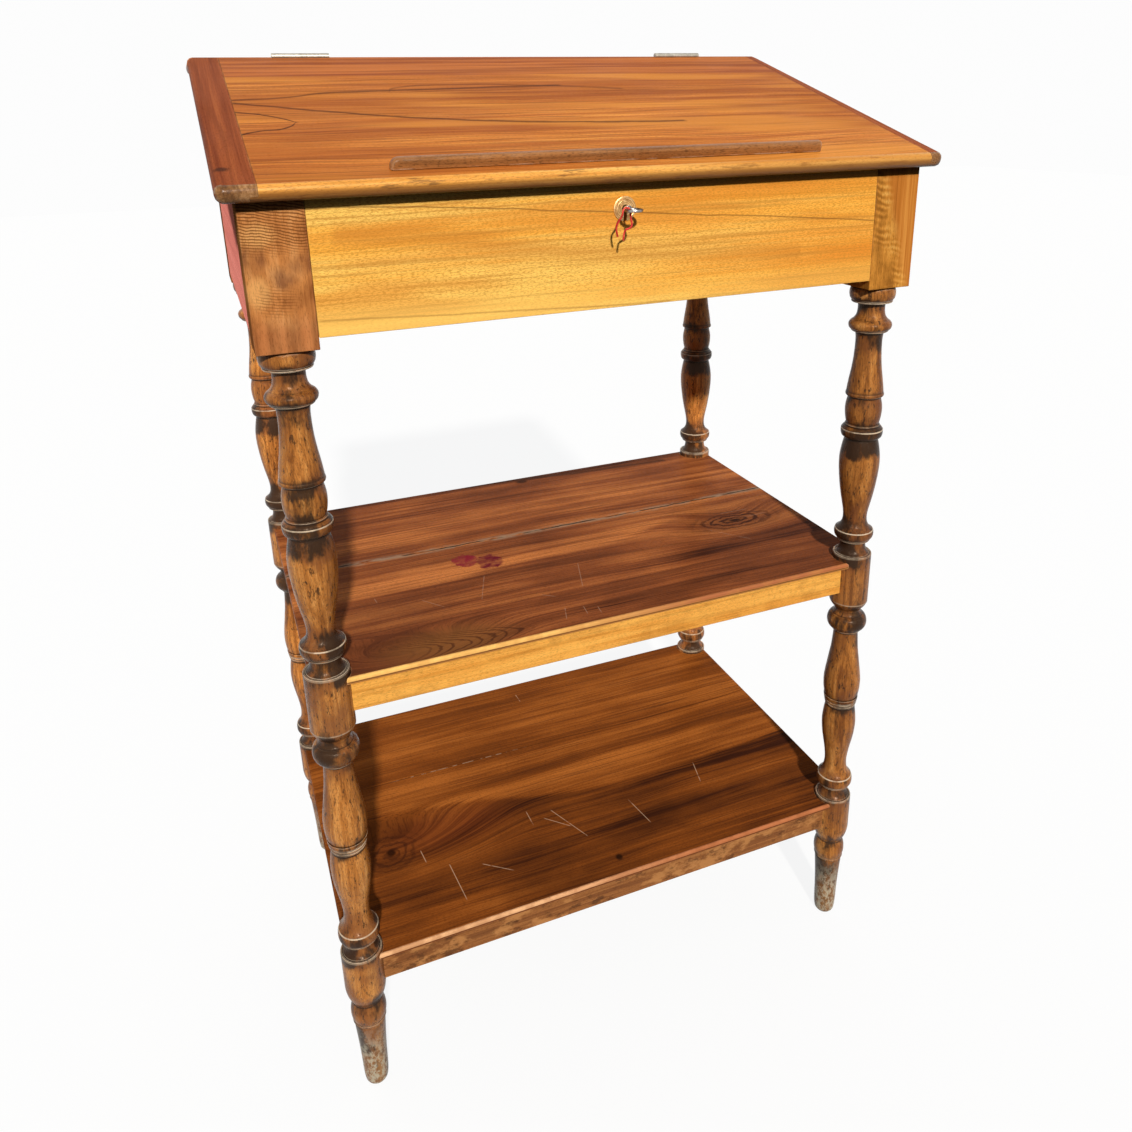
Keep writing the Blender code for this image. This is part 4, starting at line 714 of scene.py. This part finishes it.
def shelf_material(name, bend, marks, shift, top, step, behind, ahead, ramp, rims):
    """Polished shelf: boards banded from back to front, parted by a step that follows the grain."""
    g = material_graph(name + "_walnut")
    grain = Grain(g, g.x, g.add(g.y, bend(g)), g.z, shift, 0.035)
    wave = g.drift(0.01, g.place, (7, 24, 24), 3.0)
    gap = g.add(g.take(g.y, g.path(g.x, step)), g.add(wave, g.times(g.take(grain.thin, 0.5), 0.03)))
    back = g.bands(g.add(g.y, g.times(wave, 0.4)), behind)
    part = g.fade(gap, -0.008, 0.006)
    base = g.add(g.times(back, part), g.times(g.bands(gap, ahead), g.take(1.0, part)))
    figure = g.times(g.take(grain.tone(0.34, 0.34, 0.24, 0.08), 0.5), 2.6)
    cloud = g.drift(0.7, g.place, (7, 16, 16), 3.0, 0.55, shift)
    dark = ramp[0][1]
    g.colour = g.ramp(g.add(base, figure, cloud), ramp)
    g.lay(shade(dark, 0.6), grain.pores, 0.4)
    g.lay(dark, g.fade(grain.thin, 0.56, 0.68), 0.5)
    g.lay(shade(dark, 1.5), g.fade(grain.hair, 0.53, 0.64), 0.5)
    marks(g, grain)
    patchy = g.noise(g.place, 50, 4.0, 0.6)
    shelf_edge(g, g.take(top, g.z), patchy, rims)
    g.lay((0.62, 0.37, 0.2), g.edge(0.0022), g.fade(patchy, 0.36, 0.58, 0.15, 0.8))
    return g.finish(g.add(0.2, g.times(patchy, 0.16)), grain.relief(), specular=0.005)


def shelf_edge(g, drop, patchy, rims):
    """Front edge of a shelf: a pale bead, partly rubbed wear and partly a painted highlight, a dark line
    under it as painted shade of a groove, plain wood below, dark seam.
    """
    front = g.fade(g.y, SHELF_FRONT + 0.0035, SHELF_FRONT + 0.0015)
    left, right, under = rims
    g.lay(under, front)
    # Bead along the edge's top: pale wear and a painted highlight.
    bead = g.times(g.fade(drop, 0.0046, 0.0036), g.fade(patchy, 0.36, 0.58, 0.55, 1.0))
    g.lay(g.mix(g.fade(g.x, -0.15, 0.12), left, right), front, bead)
    # Groove under the bead: painted shade.
    groove = g.fade(g.op("ABSOLUTE", g.take(drop, 0.005)), 0.0009, 0.0003, 0.0, 0.75)
    g.lay((0.05, 0.018, 0.008), front, g.most(groove, g.fade(drop, 0.007, 0.0077, 0.0, 0.9)))


def scratches(g, lines, width, tone, depth):
    """Fine pale lines, each from one point to another."""
    patchy = g.fade(g.noise(g.place, 90, 2.0), 0.34, 0.52, 0.25, 1.0)
    for start, end in lines:
        run, drop = end[0] - start[0], end[1] - start[1]
        size = math.hypot(run, drop)
        x, y = g.take(g.x, start[0]), g.take(g.y, start[1])
        along = g.add(g.times(x, run / size), g.times(y, drop / size))
        across = g.take(g.times(y, run / size), g.times(x, drop / size))
        near = g.fade(g.op("ABSOLUTE", across), width * 0.3, width, 1.0, 0.0)
        g.lay(tone, near, g.fade(along, 0.0, 0.004), g.fade(along, size, size - 0.006), patchy, depth)


def knot(g, centre, radii, dark, depth):
    """Rings about a centre, fading outwards."""
    reach = g.oval(g.x, g.y, centre, radii)
    ragged = g.add(reach, g.times(g.noise(g.place, 45, 3.0), 0.5))
    rings = g.op("ABSOLUTE", g.op("SINE", g.times(ragged, 15.0)))
    g.lay(dark, g.fade(reach, 1.0, 0.35), g.fade(rings, 0.85, 0.25, 0.25, 1.0), depth)
    g.lay(shade(dark, 0.4), g.fade(reach, 0.16, 0.06), 0.9)


def swell(g, centre, radii, height):
    """Shift of the grain about a centre."""
    return g.fade(g.oval(g.x, g.y, centre, radii), 1.0, 0.0, 0.0, height)


def middle_bend(g):
    """Grain turning round the knot at the right and the figure at the left front."""
    return g.add(swell(g, MIDDLE_KNOT, (0.13, 0.07), 0.035), swell(g, (-0.24, -0.19), (0.17, 0.06), 0.05))


def lower_bend(g):
    """Grain sweeping up round the knot at the left."""
    return swell(g, (-0.259, -0.06), (0.21, 0.085), 0.06)


def arches(g, tip, reach, width, dark, depth):
    """Nested pointed lines that open away from a tip, as where a board was cut through a trunk's side."""
    across = g.op("DIVIDE", g.take(g.y, tip[1]), width)
    along = g.op("DIVIDE", g.take(g.x, tip[0]), reach)
    level = g.add(along, g.times(across, across), g.times(g.noise(g.place, (40, 60, 60), 3.0), 0.5))
    lines = g.fade(g.op("SINE", g.times(level, 22.0)), 0.35, 1.0)
    g.lay(dark, lines, g.fade(level, 0.45, 0.15), g.fade(level, -2.6, -1.4), depth)


def red_stain(g):
    """Red stain in two lobes."""
    rim = g.noise(g.place, 64, 3.0, 0.6)
    thick = g.fade(g.noise(g.place, 75, 3.0), 0.38, 0.62, 0.5, 0.95)
    lobe = g.add(g.oval(g.x, g.y, (-0.124, -0.008), (0.017, 0.019)), rim)
    g.lay((0.25, 0.014, 0.03), g.fade(lobe, 1.42, 1.28), thick)
    other = g.add(g.oval(g.x, g.y, (-0.096, -0.022), (0.019, 0.021)), rim)
    g.lay((0.14, 0.005, 0.02), g.fade(other, 1.46, 1.3), thick)


def middle_marks(g, grain):
    wave = g.drift(0.005, g.place, 70, 3.0)
    dusk = g.fade(g.add(g.x, g.times(g.noise(g.place, (8, 20, 20), 3.0), 0.16)), 0.2, 0.34)
    g.lay((0.085, 0.024, 0.012), dusk, g.fade(g.y, 0.035, 0.015), 0.32)
    g.lay((0.085, 0.026, 0.012), g.fade(g.x, -0.12, -0.22), g.fade(g.y, -0.04, -0.09), 0.35)
    g.blot((0.3, 0.115, 0.03), g.x, g.y, (-0.19, -0.185), (0.1, 0.045), 0.2, 0.6)
    arches(g, (-0.105, -0.192), 0.05, 0.021, (0.07, 0.02, 0.008), 0.75)
    knot(g, MIDDLE_KNOT, (0.085, 0.036), (0.036, 0.01, 0.006), 0.9)
    streak = ((-0.06, 0.226), (0.028, 0.222), (0.105, 0.212), (0.26, 0.203))
    g.lay((0.04, 0.016, 0.009), g.line(g.x, g.y, streak, 0.008, wave), 0.7)
    crack = (
        (-0.335, 0.0418), (-0.26, 0.041), (-0.113, 0.0386), (0.038, 0.04), (0.202, 0.0405), (0.335, 0.0435)
    )
    dust = g.fade(g.noise(g.place, (30, 150, 150), 4.0, 0.7), 0.4, 0.54)
    g.lay((0.36, 0.235, 0.15), g.line(g.x, g.y, crack, 0.0095, wave), dust, 0.9)
    gaping = g.fade(g.noise(g.place, (22, 60, 60), 3.0, 0.6), 0.38, 0.52)
    g.lay((0.014, 0.007, 0.005), g.line(g.x, g.y, crack, 0.0026, wave), gaping)
    red_stain(g)
    g.blot((0.02, 0.008, 0.004), g.x, g.y, (0.0245, 0.212), (0.012, 0.008), 0.4, 0.8)
    scratches(g, MIDDLE_SCRATCHES, 0.0007, (0.5, 0.31, 0.21), 0.42)


def lower_marks(g, grain):
    figure = g.add(g.times(grain.thin, 0.6), g.times(grain.streak, 0.4))
    wavy = g.grade(figure, ((0.06, 0.012, 0.005), (0.13, 0.028, 0.008), (0.23, 0.055, 0.012)), 0.08)
    g.blot(wavy, g.x, g.y, (-0.19, -0.045), (0.13, 0.055), 0.25, 0.75)
    knot(g, (-0.258, -0.062), (0.052, 0.05), (0.04, 0.011, 0.005), 0.6)
    mottle = g.fade(g.noise(g.place, (9, 14, 14), 3.0, 0.55, (3.0, 1.0, 0.0)), 0.34, 0.64, 0.1, 0.65)
    near = g.most(
        g.fade(g.oval(g.x, g.y, (0.1, -0.142), (0.11, 0.05)), 1.0, 0.2),
        g.fade(g.oval(g.x, g.y, (-0.075, -0.185), (0.13, 0.03)), 1.0, 0.2),
    )
    g.lay((0.046, 0.013, 0.005), near, mottle)
    joint = ((-0.335, 0.073), (-0.213, 0.071), (-0.005, 0.068), (0.188, 0.061), (0.335, 0.066))
    seam = g.line(g.x, g.y, joint, 0.0011)
    g.lay((0.03, 0.011, 0.004), seam, 0.7)
    dust = g.fade(g.noise(g.place, 120, 2.0), 0.46, 0.56)
    g.lay((0.4, 0.26, 0.16), seam, g.fade(g.x, -0.24, -0.2), g.fade(g.x, -0.02, -0.08), dust)
    scratches(g, LOWER_SCRATCHES, 0.0008, (0.66, 0.42, 0.26), 0.6)
    g.blot((0.015, 0.006, 0.003), g.x, g.y, (0.0044, -0.1827), (0.006, 0.007), 0.4, 0.85)


def rail_material(name, letters, tones, wear):
    g = material_graph(name)
    grain = Grain(g, *axes(g, letters), (2.9, 5.5, 0.0), 0.012)

    def marks():
        rust = g.noise(g.place, (24, 24, 40), 4.0, 0.65, (2.0, 7.0, 1.0))
        g.lay(shade(tones[2], 1.2), g.fade(rust, 0.5, 0.62), wear)
        g.lay(shade(tones[0], 0.45), g.fade(g.noise(g.place, (34, 34, 60), 5.0, 0.7), 0.51, 0.62), wear)

    return wood(g, grain, tones, rough=0.42, marks=marks, specular=0.1)


def turned_material(name, axis, shift, bright):
    """Turned leg: worn golden wood, dark hollows and patches, pale rims, scuffed foot."""
    g = material_graph(name)
    grain = Grain(g, g.z, g.take(g.x, axis[0]), g.take(g.y, axis[1]), shift, 0.012)
    tones = ((0.18, 0.056, 0.011), (0.46, 0.172, 0.036), (0.68, 0.31, 0.085))
    # Tones scaled by bright, which for the back legs is partly painted light.
    g.colour = g.grade(grain.tone(), [shade(tone, bright) for tone in tones])
    g.lay((0.06, 0.02, 0.006), grain.pores, 0.6)
    spot = g.scaled(g.place, (1, 1, 1), shift)
    grime = g.take(g.bands(g.z, LEG_GRIME), 0.5)
    patch = g.noise(spot, (34, 34, 14), 5.0, 0.66)
    stain = g.add(g.noise(spot, (26, 26, 16), 3.0, 0.6, (5.0, 2.0, 8.0)), g.times(grime, 0.5))
    g.lay(shade((0.175, 0.056, 0.018), bright), g.fade(stain, 0.39, 0.6), 0.72)
    dirt = g.add(patch, g.times(grime, 0.55))
    g.lay(shade((0.018, 0.01, 0.006), bright), g.fade(dirt, 0.5, 0.65), 0.92)
    chips = g.noise(spot, (240, 240, 80), 5.0, 0.75)
    g.lay((0.028, 0.013, 0.007), g.fade(chips, 0.555, 0.63), 0.85)
    edge = g.mark("rim")
    patchy = g.fade(g.noise(spot, 70, 4.0), 0.34, 0.52, 0.35, 1.0)
    g.lay((0.02, 0.01, 0.006), g.fade(edge, -0.05, -0.55), 0.9)
    g.lay((0.66, 0.52, 0.37), g.fade(edge, 0.18, 0.62), patchy, 0.9)
    scuffs = g.fade(g.noise(spot, (150, 150, 90), 6.0, 0.8), 0.43, 0.57)
    g.lay((0.42, 0.38, 0.28), g.fade(g.z, 0.11, 0.03), scuffs, 0.9)
    g.lay((0.075, 0.05, 0.028), g.fade(g.z, 0.12, 0.03), g.take(1.0, scuffs), 0.6)
    rough = g.add(0.17, g.times(patch, 0.2), g.times(grain.pores, 0.1))
    height = g.take(grain.relief(0.4, 0.6), g.times(g.fade(chips, 0.58, 0.7), 0.8))
    return g.finish(rough, height, 0.35, 0.0008, specular=0.16, Specular_Tint=(1.0, 0.78, 0.6, 1.0))


def block_material(name, axis, shift, block):
    """Square top of a leg."""
    g = material_graph(name)
    side = g.take(g.x, axis[0])
    grain = Grain(g, g.z, side, g.take(g.y, axis[1]), shift, 0.012)
    block(g, grain, side)
    spot = g.scaled(g.place, (1, 1, 1), shift)
    g.lay((0.6, 0.36, 0.16), g.edge(0.002), g.fade(g.noise(spot, 70, 3.0), 0.45, 0.6), 0.3)
    return g.finish(g.add(0.36, g.times(grain.pores, 0.15)), grain.relief(0.4, 0.6), specular=0.0)


def curly(g, grain, side, dark, mid, light, share):
    """Ripples across the grain, as in curly walnut; share says where they show."""
    swirl = g.times(g.noise(g.place, (42, 42, 24), 3.0), 16.0)
    wave = g.add(g.times(g.z, CURL), swirl, g.times(side, CURL * 0.2))
    ripple = g.times(g.op("SINE", wave), share, 0.055)
    zone = g.noise(g.place, (34, 34, 20), 3.0)
    tone = g.add(g.times(grain.tone(), 0.6), g.times(zone, 0.4), ripple)
    g.colour = g.ramp(tone, ((0.41, dark), (0.5, mid), (0.6, light)))
    g.lay(shade(dark, 0.5), grain.pores, 0.5)


def left_block(g, grain, side):
    """Tight dark ripples at the top, smoky swirls under them, redder wood at the bottom."""
    swirl = g.noise(g.place, (30, 30, 22), 3.0)
    ragged = g.take(swirl, 0.5)
    wave = g.add(g.times(g.z, 2500.0), g.add(g.times(swirl, 26.0), g.times(side, 420.0)))
    lines = g.fade(g.op("SINE", wave), -0.1, 0.9)
    tone = g.add(g.times(grain.tone(), 0.55), g.times(g.noise(g.place, (34, 34, 20), 3.0), 0.45))
    tones = ((0.41, (0.26, 0.085, 0.024)), (0.5, (0.52, 0.2, 0.056)), (0.6, (0.7, 0.33, 0.115)))
    g.colour = g.ramp(tone, tones)
    red = g.mix(g.fade(grain.streak, 0.38, 0.62), (0.2, 0.058, 0.02), (0.46, 0.155, 0.052))
    g.lay(red, g.fade(g.add(g.z, g.times(ragged, 0.04)), 0.934, 0.908), 0.75)
    for centre, radii in (((-0.014, 0.992), (0.02, 0.014)), ((-0.017, 0.943), (0.014, 0.017))):
        pale = g.add(g.oval(side, g.z, centre, radii), ragged)
        g.lay((0.8, 0.42, 0.14), g.fade(pale, 1.0, 0.3), 0.6)
    smoke = 0.0
    for centre, radii in (
        ((-0.022, 0.972), (0.016, 0.016)), ((0.021, 0.966), (0.018, 0.013)), ((0.004, 0.954), (0.016, 0.014))
    ):
        smoke = g.most(smoke, g.fade(g.add(g.oval(side, g.z, centre, radii), ragged), 1.0, 0.2))
    haze = g.fade(g.noise(g.place, (90, 90, 40), 4.0, 0.6), 0.36, 0.6, 0.4, 1.0)
    g.lay((0.16, 0.06, 0.03), smoke, haze, 0.72)
    patch = g.fade(g.oval(side, g.z, (-0.004, 0.936), (0.024, 0.018)), 1.0, 0.3, 0.0, 0.5)
    g.lay((0.13, 0.04, 0.012), lines, g.most(g.fade(g.z, 0.97, 0.986, 0.0, 0.85), patch))
    g.lay((0.1, 0.032, 0.01), grain.pores, 0.35)
    # Painted shade under the lid's overhang.
    painted_shade_below_lid(g)


def right_block(g, grain, side):
    """Curly pale wood, with redder wood beyond a slant."""
    curls = g.fade(g.noise(g.place, 30, 2.0), 0.4, 0.6)
    curly(g, grain, side, (0.3, 0.115, 0.018), (0.55, 0.225, 0.036), (0.74, 0.39, 0.09), curls)
    red = g.grade(grain.tone(), ((0.24, 0.072, 0.012), (0.46, 0.155, 0.024), (0.64, 0.27, 0.055)))
    slant = g.add(g.take(g.z, 0.955), g.times(side, 3.4))
    g.lay(red, g.fade(g.take(g.drift(0.03, g.place, 40, 2.0), slant), 0.02, -0.03))
    # Painted shade under the lid's overhang.
    painted_shade_below_lid(g)


def back_block(g, grain, side):
    curly(g, grain, side, (0.16, 0.048, 0.012), (0.34, 0.12, 0.03), (0.5, 0.21, 0.06), 0.5)


def metal_material(name, bright, dull, dark, rough, scale):
    """Old metal: tarnish in patches, dark specks, brighter on its edges."""
    g = material_graph(name)
    patch = g.noise(g.place, scale, 5.0, 0.65)
    fine = g.noise(g.place, scale * 8, 3.0)
    g.colour = g.ramp(patch, ((0.32, shade(dull, 0.7)), (0.5, dull), (0.66, bright)))
    g.lay(dark, g.fade(fine, 0.6, 0.74), 0.35)
    g.lay(bright, g.edge(0.0006), 0.4)
    return g.finish(g.add(rough, g.times(g.take(patch, 0.5), -0.35)), fine, 0.15, 0.0002, Metallic=1.0)


def escutcheon_material():
    """Turned brass with fine rings about the keyhole."""
    g = material_graph("turned_brass")
    heights = [point.co.z for point in nodes["escutcheon"].data.vertices]
    middle = (min(heights) + max(heights)) / 2
    reach = g.oval(g.x, g.z, (0.0, middle), (ESCUTCHEON_RADIUS, ESCUTCHEON_RADIUS))
    patch = g.noise(g.place, 300, 4.0, 0.65)
    rings = g.fade(g.op("SINE", g.times(g.add(reach, g.times(patch, 0.05)), 42.0)), 0.2, 0.95)
    g.colour = g.grade(patch, ((0.52, 0.28, 0.1), (0.72, 0.43, 0.17), (0.86, 0.58, 0.28)), 0.16)
    g.lay((0.16, 0.075, 0.022), rings, 0.65)
    return g.finish(g.add(0.34, g.times(patch, 0.2)), g.take(patch, rings), 0.25, 0.0003, Metallic=0.85)


def ribbon_material():
    g = material_graph("red_ribbon_cloth")
    weave = g.noise(g.place, 1800, 2.0)
    tone = g.add(g.times(weave, 0.5), g.times(g.noise(g.place, 160, 2.0), 0.5))
    g.colour = g.grade(tone, ((0.3, 0.008, 0.01), (0.66, 0.04, 0.03), (0.84, 0.14, 0.09)), 0.14)
    rough = g.add(0.55, g.times(weave, 0.25))
    return g.finish(rough, weave, 0.5, 0.0004, Sheen_Weight=0.1, specular=0.1)


def smooth_run(member, steps=3):
    """One member's points in metres, with a curve drawn through them."""
    points = [Vector((radius / TENTHS_PER_METRE, drop / TENTHS_PER_METRE)) for radius, drop in member]
    drawn = []
    for index, (start, end) in enumerate(zip(points, points[1:])):
        lead = (end - points[index - 1]) / 2 if index else end - start
        trail = (points[index + 2] - start) / 2 if index + 2 < len(points) else end - start
        for step in range(steps):
            t = step / steps
            a, b = 2 * t ** 3 - 3 * t ** 2 + 1, t ** 3 - 2 * t ** 2 + t
            c, d = 3 * t ** 2 - 2 * t ** 3, t ** 3 - t ** 2
            drawn.append(a * start + b * lead + c * end + d * trail)
    return drawn + [points[-1]]


def leg_outline():
    """Turned outline from the block down to the floor, as (radius, height)."""
    outline = []
    sections = ((UPPER_TURNING, BLOCK_BOTTOM), (MIDDLE_TURNING, MIDDLE_TOP), (FOOT_TURNING, FOOT_TOP))
    for members, top in sections:
        runs = [smooth_run(member) for member in members]
        if outline:
            outline.append(outline[-1] + Vector((0, -LEG_LAP)))
        outline.append(Vector((runs[0][0].x, top + LEG_LAP)))
        for run in runs:
            outline += [Vector((radius, top - drop)) for radius, drop in run]
    return outline


def rim_shares(outline):
    """How sharp the outline turns at each point: up to 1 on a rim, down to -1 in a groove."""
    shares = [0.0]
    for before, here, after in zip(outline, outline[1:], outline[2:]):
        a, b = here - before, after - here
        if min(a.length, b.length) < 1e-7:
            shares.append(0.0)
            continue
        turn = math.atan2(a.x * b.y - a.y * b.x, a.dot(b))
        shares.append(max(-1.0, min(1.0, -turn / math.radians(50))))
    return shares + [0.0]


def turn_mesh(mesh, axis, outline):
    """Adds a body of revolution with closed ends, with its rims marked."""
    layer = mesh.verts.layers.float.new("rim")
    rings = []
    sharp = rim_shares(outline)
    neighbours = zip([0.0] + sharp, sharp, sharp[1:] + [0.0])
    soft = [max(a, b, c, key=abs) * 0.5 if abs(b) < 0.2 else b for a, b, c in neighbours]
    for point, share in zip(outline, soft):
        ring = []
        for step in range(LEG_SEGMENTS):
            angle = 2 * math.pi * step / LEG_SEGMENTS
            x = axis[0] + point.x * math.cos(angle)
            y = axis[1] + point.x * math.sin(angle)
            vert = mesh.verts.new((x, y, point.y))
            vert[layer] = share
            ring.append(vert)
        rings.append(ring)
    for upper, lower in zip(rings, rings[1:]):
        for step in range(LEG_SEGMENTS):
            after = (step + 1) % LEG_SEGMENTS
            face = mesh.faces.new((upper[step], lower[step], lower[after], upper[after]))
            face.smooth = True
    for upper, share in zip(rings, sharp):
        if abs(share) > 0.6:
            for step in range(LEG_SEGMENTS):
                edge = mesh.edges.get((upper[step], upper[(step + 1) % LEG_SEGMENTS]))
                edge.smooth = False
    mesh.faces.new(rings[0])
    mesh.faces.new(rings[-1][::-1])


def make_leg(name, axis, turned, block):
    """Finely turned leg with a softened block, in place of the frame's leg."""
    mesh = bmesh.new()
    mesh.from_mesh(nodes[name].data)
    bmesh.ops.remove_doubles(mesh, verts=mesh.verts, dist=WELD_REACH)
    low = [vert for vert in mesh.verts if vert.co.z < BLOCK_BOTTOM - 1e-5]
    bmesh.ops.delete(mesh, geom=low, context="VERTS")
    bmesh.ops.holes_fill(mesh, edges=[edge for edge in mesh.edges if edge.is_boundary], sides=0)
    bmesh.ops.dissolve_limit(mesh, angle_limit=0.005, verts=mesh.verts, edges=mesh.edges)
    bmesh.ops.recalc_face_normals(mesh, faces=mesh.faces)
    corners = [edge for edge in mesh.edges if len(edge.link_faces) == 2 and edge.calc_face_angle() > 0.7]
    bmesh.ops.bevel(
        mesh, geom=corners, offset=BLOCK_SOFTNESS, segments=2, profile=0.5, affect="EDGES", clamp_overlap=True
    )
    turn_mesh(mesh, axis, leg_outline())
    data = bpy.data.meshes.new("turned_" + name)
    mesh.to_mesh(data)
    mesh.free()
    data.materials.append(turned)
    data.materials.append(block)
    for face in data.polygons:
        face.material_index = int(face.center.z > BLOCK_BOTTOM - 0.0002 and len(face.vertices) < LEG_SEGMENTS)
    leg = bpy.data.objects.new("turned_" + name, data)
    scene.collection.objects.link(leg)
    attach(leg, "case")
    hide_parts(name)


def make_legs():
    # Each leg's last number scales its colours; the back legs' higher numbers are partly paler wood and
    # partly painted light on legs that stand in the case's shade.
    styles = {
        "leg_front_left": ((-LEG_X, LEG_FRONT_Y), (0.0, 0.0, 0.0), left_block, 0.95),
        "leg_front_right": ((LEG_X, LEG_FRONT_Y), (3.3, 1.2, 0.7), right_block, 0.88),
        "leg_back_left": ((-LEG_X, LEG_BACK_Y), (6.1, 2.9, 1.9), back_block, 1.4),
        "leg_back_right": ((LEG_X, LEG_BACK_Y), (9.7, 4.3, 2.6), back_block, 1.45),
    }
    for name, (axis, shift, block, bright) in styles.items():
        turned = turned_material(name + "_turned_walnut", axis, shift, bright)
        make_leg(name, axis, turned, block_material(name + "_block_walnut", axis, shift, block))


def soften(node, width):
    """Rounds the edges of a frame node and evens its shading."""
    node.data.polygons.foreach_set("use_smooth", [True] * len(node.data.polygons))
    if "custom_normal" in node.data.attributes:
        node.data.attributes.remove(node.data.attributes["custom_normal"])
    weld = node.modifiers.new("weld", "WELD")
    weld.merge_threshold = WELD_REACH
    flat = node.modifiers.new("flat", "DECIMATE")
    flat.decimate_type = "DISSOLVE"
    flat.angle_limit = math.radians(0.3)
    bevel = node.modifiers.new("bevel", "BEVEL")
    bevel.width = width
    bevel.segments = 2
    bevel.limit_method = "ANGLE"
    bevel.angle_limit = math.radians(35)
    node.modifiers.new("normals", "WEIGHTED_NORMAL")


def dress(names, material, width=WOOD_SOFTNESS):
    for name in names:
        node = nodes[name]
        node.data.materials.clear()
        node.data.materials.append(material)
        soften(node, width)


def second_finish(name, material, chosen):
    """Gives the chosen faces of a frame node a finish of their own."""
    data = nodes[name].data
    data.materials.append(material)
    for face in data.polygons:
        if chosen(face):
            face.material_index = 1


def dress_case():
    dress(["front_panel"], panel_material())
    dress(["side_panel_left", "side_panel_right"], side_material())
    # The left panel's outer face gets pale pink tones, a painted reflection.
    second_finish("side_panel_left", painted_sheen_side_material(), lambda face: face.normal.x < -0.9)
    dress(["back_panel"], back_material())
    dress(["back_ledge"], ledge_material())
    ledgers = ["floor_ledger_" + side for side in ("front", "back", "left", "right")]
    dress(["case_floor"] + ledgers, pine_material())


def dress_shelves():
    gold = ((0.5, 0.2, 0.03), (0.72, 0.3, 0.048), (0.84, 0.42, 0.085))
    red = ((0.14, 0.045, 0.013), (0.27, 0.1, 0.028), (0.38, 0.17, 0.055))
    for level, tones, wear, bend, marks in (
        ("middle", gold, 0.2, middle_bend, middle_marks), ("lower", red, 0.75, lower_bend, lower_marks)
    ):
        rail = level + "_rail_"
        dress([rail + "front", rail + "back"], rail_material(rail + "walnut", "xzy", tones, wear))
        dress([rail + "left", rail + "right"], rail_material(level + "_end_rail_walnut", "yzx", tones, wear))
        shelf = level + "_shelf"
        dress([shelf], shelf_material(shelf, bend, marks, **SHELVES[shelf]), SHELF_SOFTNESS)


def faces_front(face):
    """Whether a face is on the lid's front edge."""
    down = face.center.y - LID_LINE[0]
    rise = face.center.z - LID_LINE[1]
    slope = down * math.cos(LID_SLOPE) + rise * math.sin(LID_SLOPE)
    return slope < NOSING_REACH and face.normal.y < -0.3


def dress_lid():
    dress(["lid_board"], lid_material())
    second_finish("lid_board", nosing_material(), faces_front)
    dress(["lid_cleat_left", "lid_cleat_right"], cleat_material())
    ends = cleat_end_material()
    for side in ("left", "right"):
        second_finish("lid_cleat_" + side, ends, faces_front)
    dress(["book_ledge"], strip_material(), STRIP_SOFTNESS)


def dress_metal():
    brass = metal_material("aged_brass", (0.62, 0.47, 0.24), (0.4, 0.29, 0.14), (0.14, 0.1, 0.05), 0.36, 180)
    steel = metal_material(
        "plated_steel", (0.46, 0.44, 0.42), (0.29, 0.27, 0.26), (0.1, 0.09, 0.085), 0.34, 260
    )
    worn = metal_material("worn_brass", (0.6, 0.56, 0.48), (0.44, 0.4, 0.33), (0.16, 0.14, 0.11), 0.4, 160)
    hinges = [name for name in nodes if "leaf" in name]
    grey = [name for name in nodes if "screw" in name or "_pin" in name]
    dress(hinges, worn, METAL_SOFTNESS)
    dress(["lock_plate", "strike_plate"], brass, METAL_SOFTNESS)
    dress(["escutcheon"], escutcheon_material(), METAL_SOFTNESS)
    dress(grey + ["lock_case", "lock_bolt", "key"], steel, METAL_SOFTNESS)


def make_floor():
    """White floor that keeps the desk's shadow."""
    g = material_graph("floor_white")
    seen = g.seen()
    matt = g.node("ShaderNodeBsdfDiffuse")
    glow = g.node("ShaderNodeEmission")
    g.put(matt.inputs[0], g.mix(seen, (0.06, 0.06, 0.06), (0.9, 0.9, 0.9)))
    white = g.finish_mixed(g.times(seen, 0.88), matt, glow)
    mesh = bmesh.new()
    bmesh.ops.create_grid(mesh, x_segments=1, y_segments=1, size=FLOOR_REACH)
    data = bpy.data.meshes.new("floor")
    mesh.to_mesh(data)
    mesh.free()
    data.materials.append(white)
    floor = bpy.data.objects.new("floor", data)
    floor.location.z = -FLOOR_DROP
    scene.collection.objects.link(floor)


def make_sky():
    """Soft light, stronger from above and behind, in front of a white backdrop."""
    scene.world = bpy.data.worlds.new("studio")
    g = Graph(scene.world, "ShaderNodeOutputWorld", "Generated")
    soft = g.node("ShaderNodeBackground")
    g.put(soft.inputs["Color"], (0.9, 0.95, 1.0, 1))
    strength = g.add(g.level(g.z, 0.0, 1.0, 0.07, 0.4), g.level(g.y, -0.1, 0.9, 0.0, 0.45))
    g.put(soft.inputs["Strength"], strength)
    white = g.node("ShaderNodeBackground")
    g.put(white.inputs["Color"], (0.98, 0.98, 0.98, 1))
    g.put(white.inputs["Strength"], 1.0)
    g.finish_mixed(g.seen(), soft, white)


def make_sun():
    data = bpy.data.lights.new("sun", "SUN")
    data.energy = SUN_STRENGTH
    data.angle = SUN_WIDTH
    data.color = SUN_COLOUR
    sun = bpy.data.objects.new("sun", data)
    flat = math.cos(SUN_RISE)
    to_sun = Vector((-math.sin(SUN_TURN) * flat, -math.cos(SUN_TURN) * flat, math.sin(SUN_RISE)))
    sun.rotation_euler = to_sun.to_track_quat("Z", "Y").to_euler()
    sun.location = to_sun * SUN_DISTANCE
    scene.collection.objects.link(sun)


make_camera()
ribbon = make_ribbon()
ribbon.data.materials.append(ribbon_material())
make_legs()
dress_case()
dress_shelves()
dress_lid()
dress_metal()
make_floor()
make_sky()
make_sun()
scene.view_settings.view_transform = "Standard"
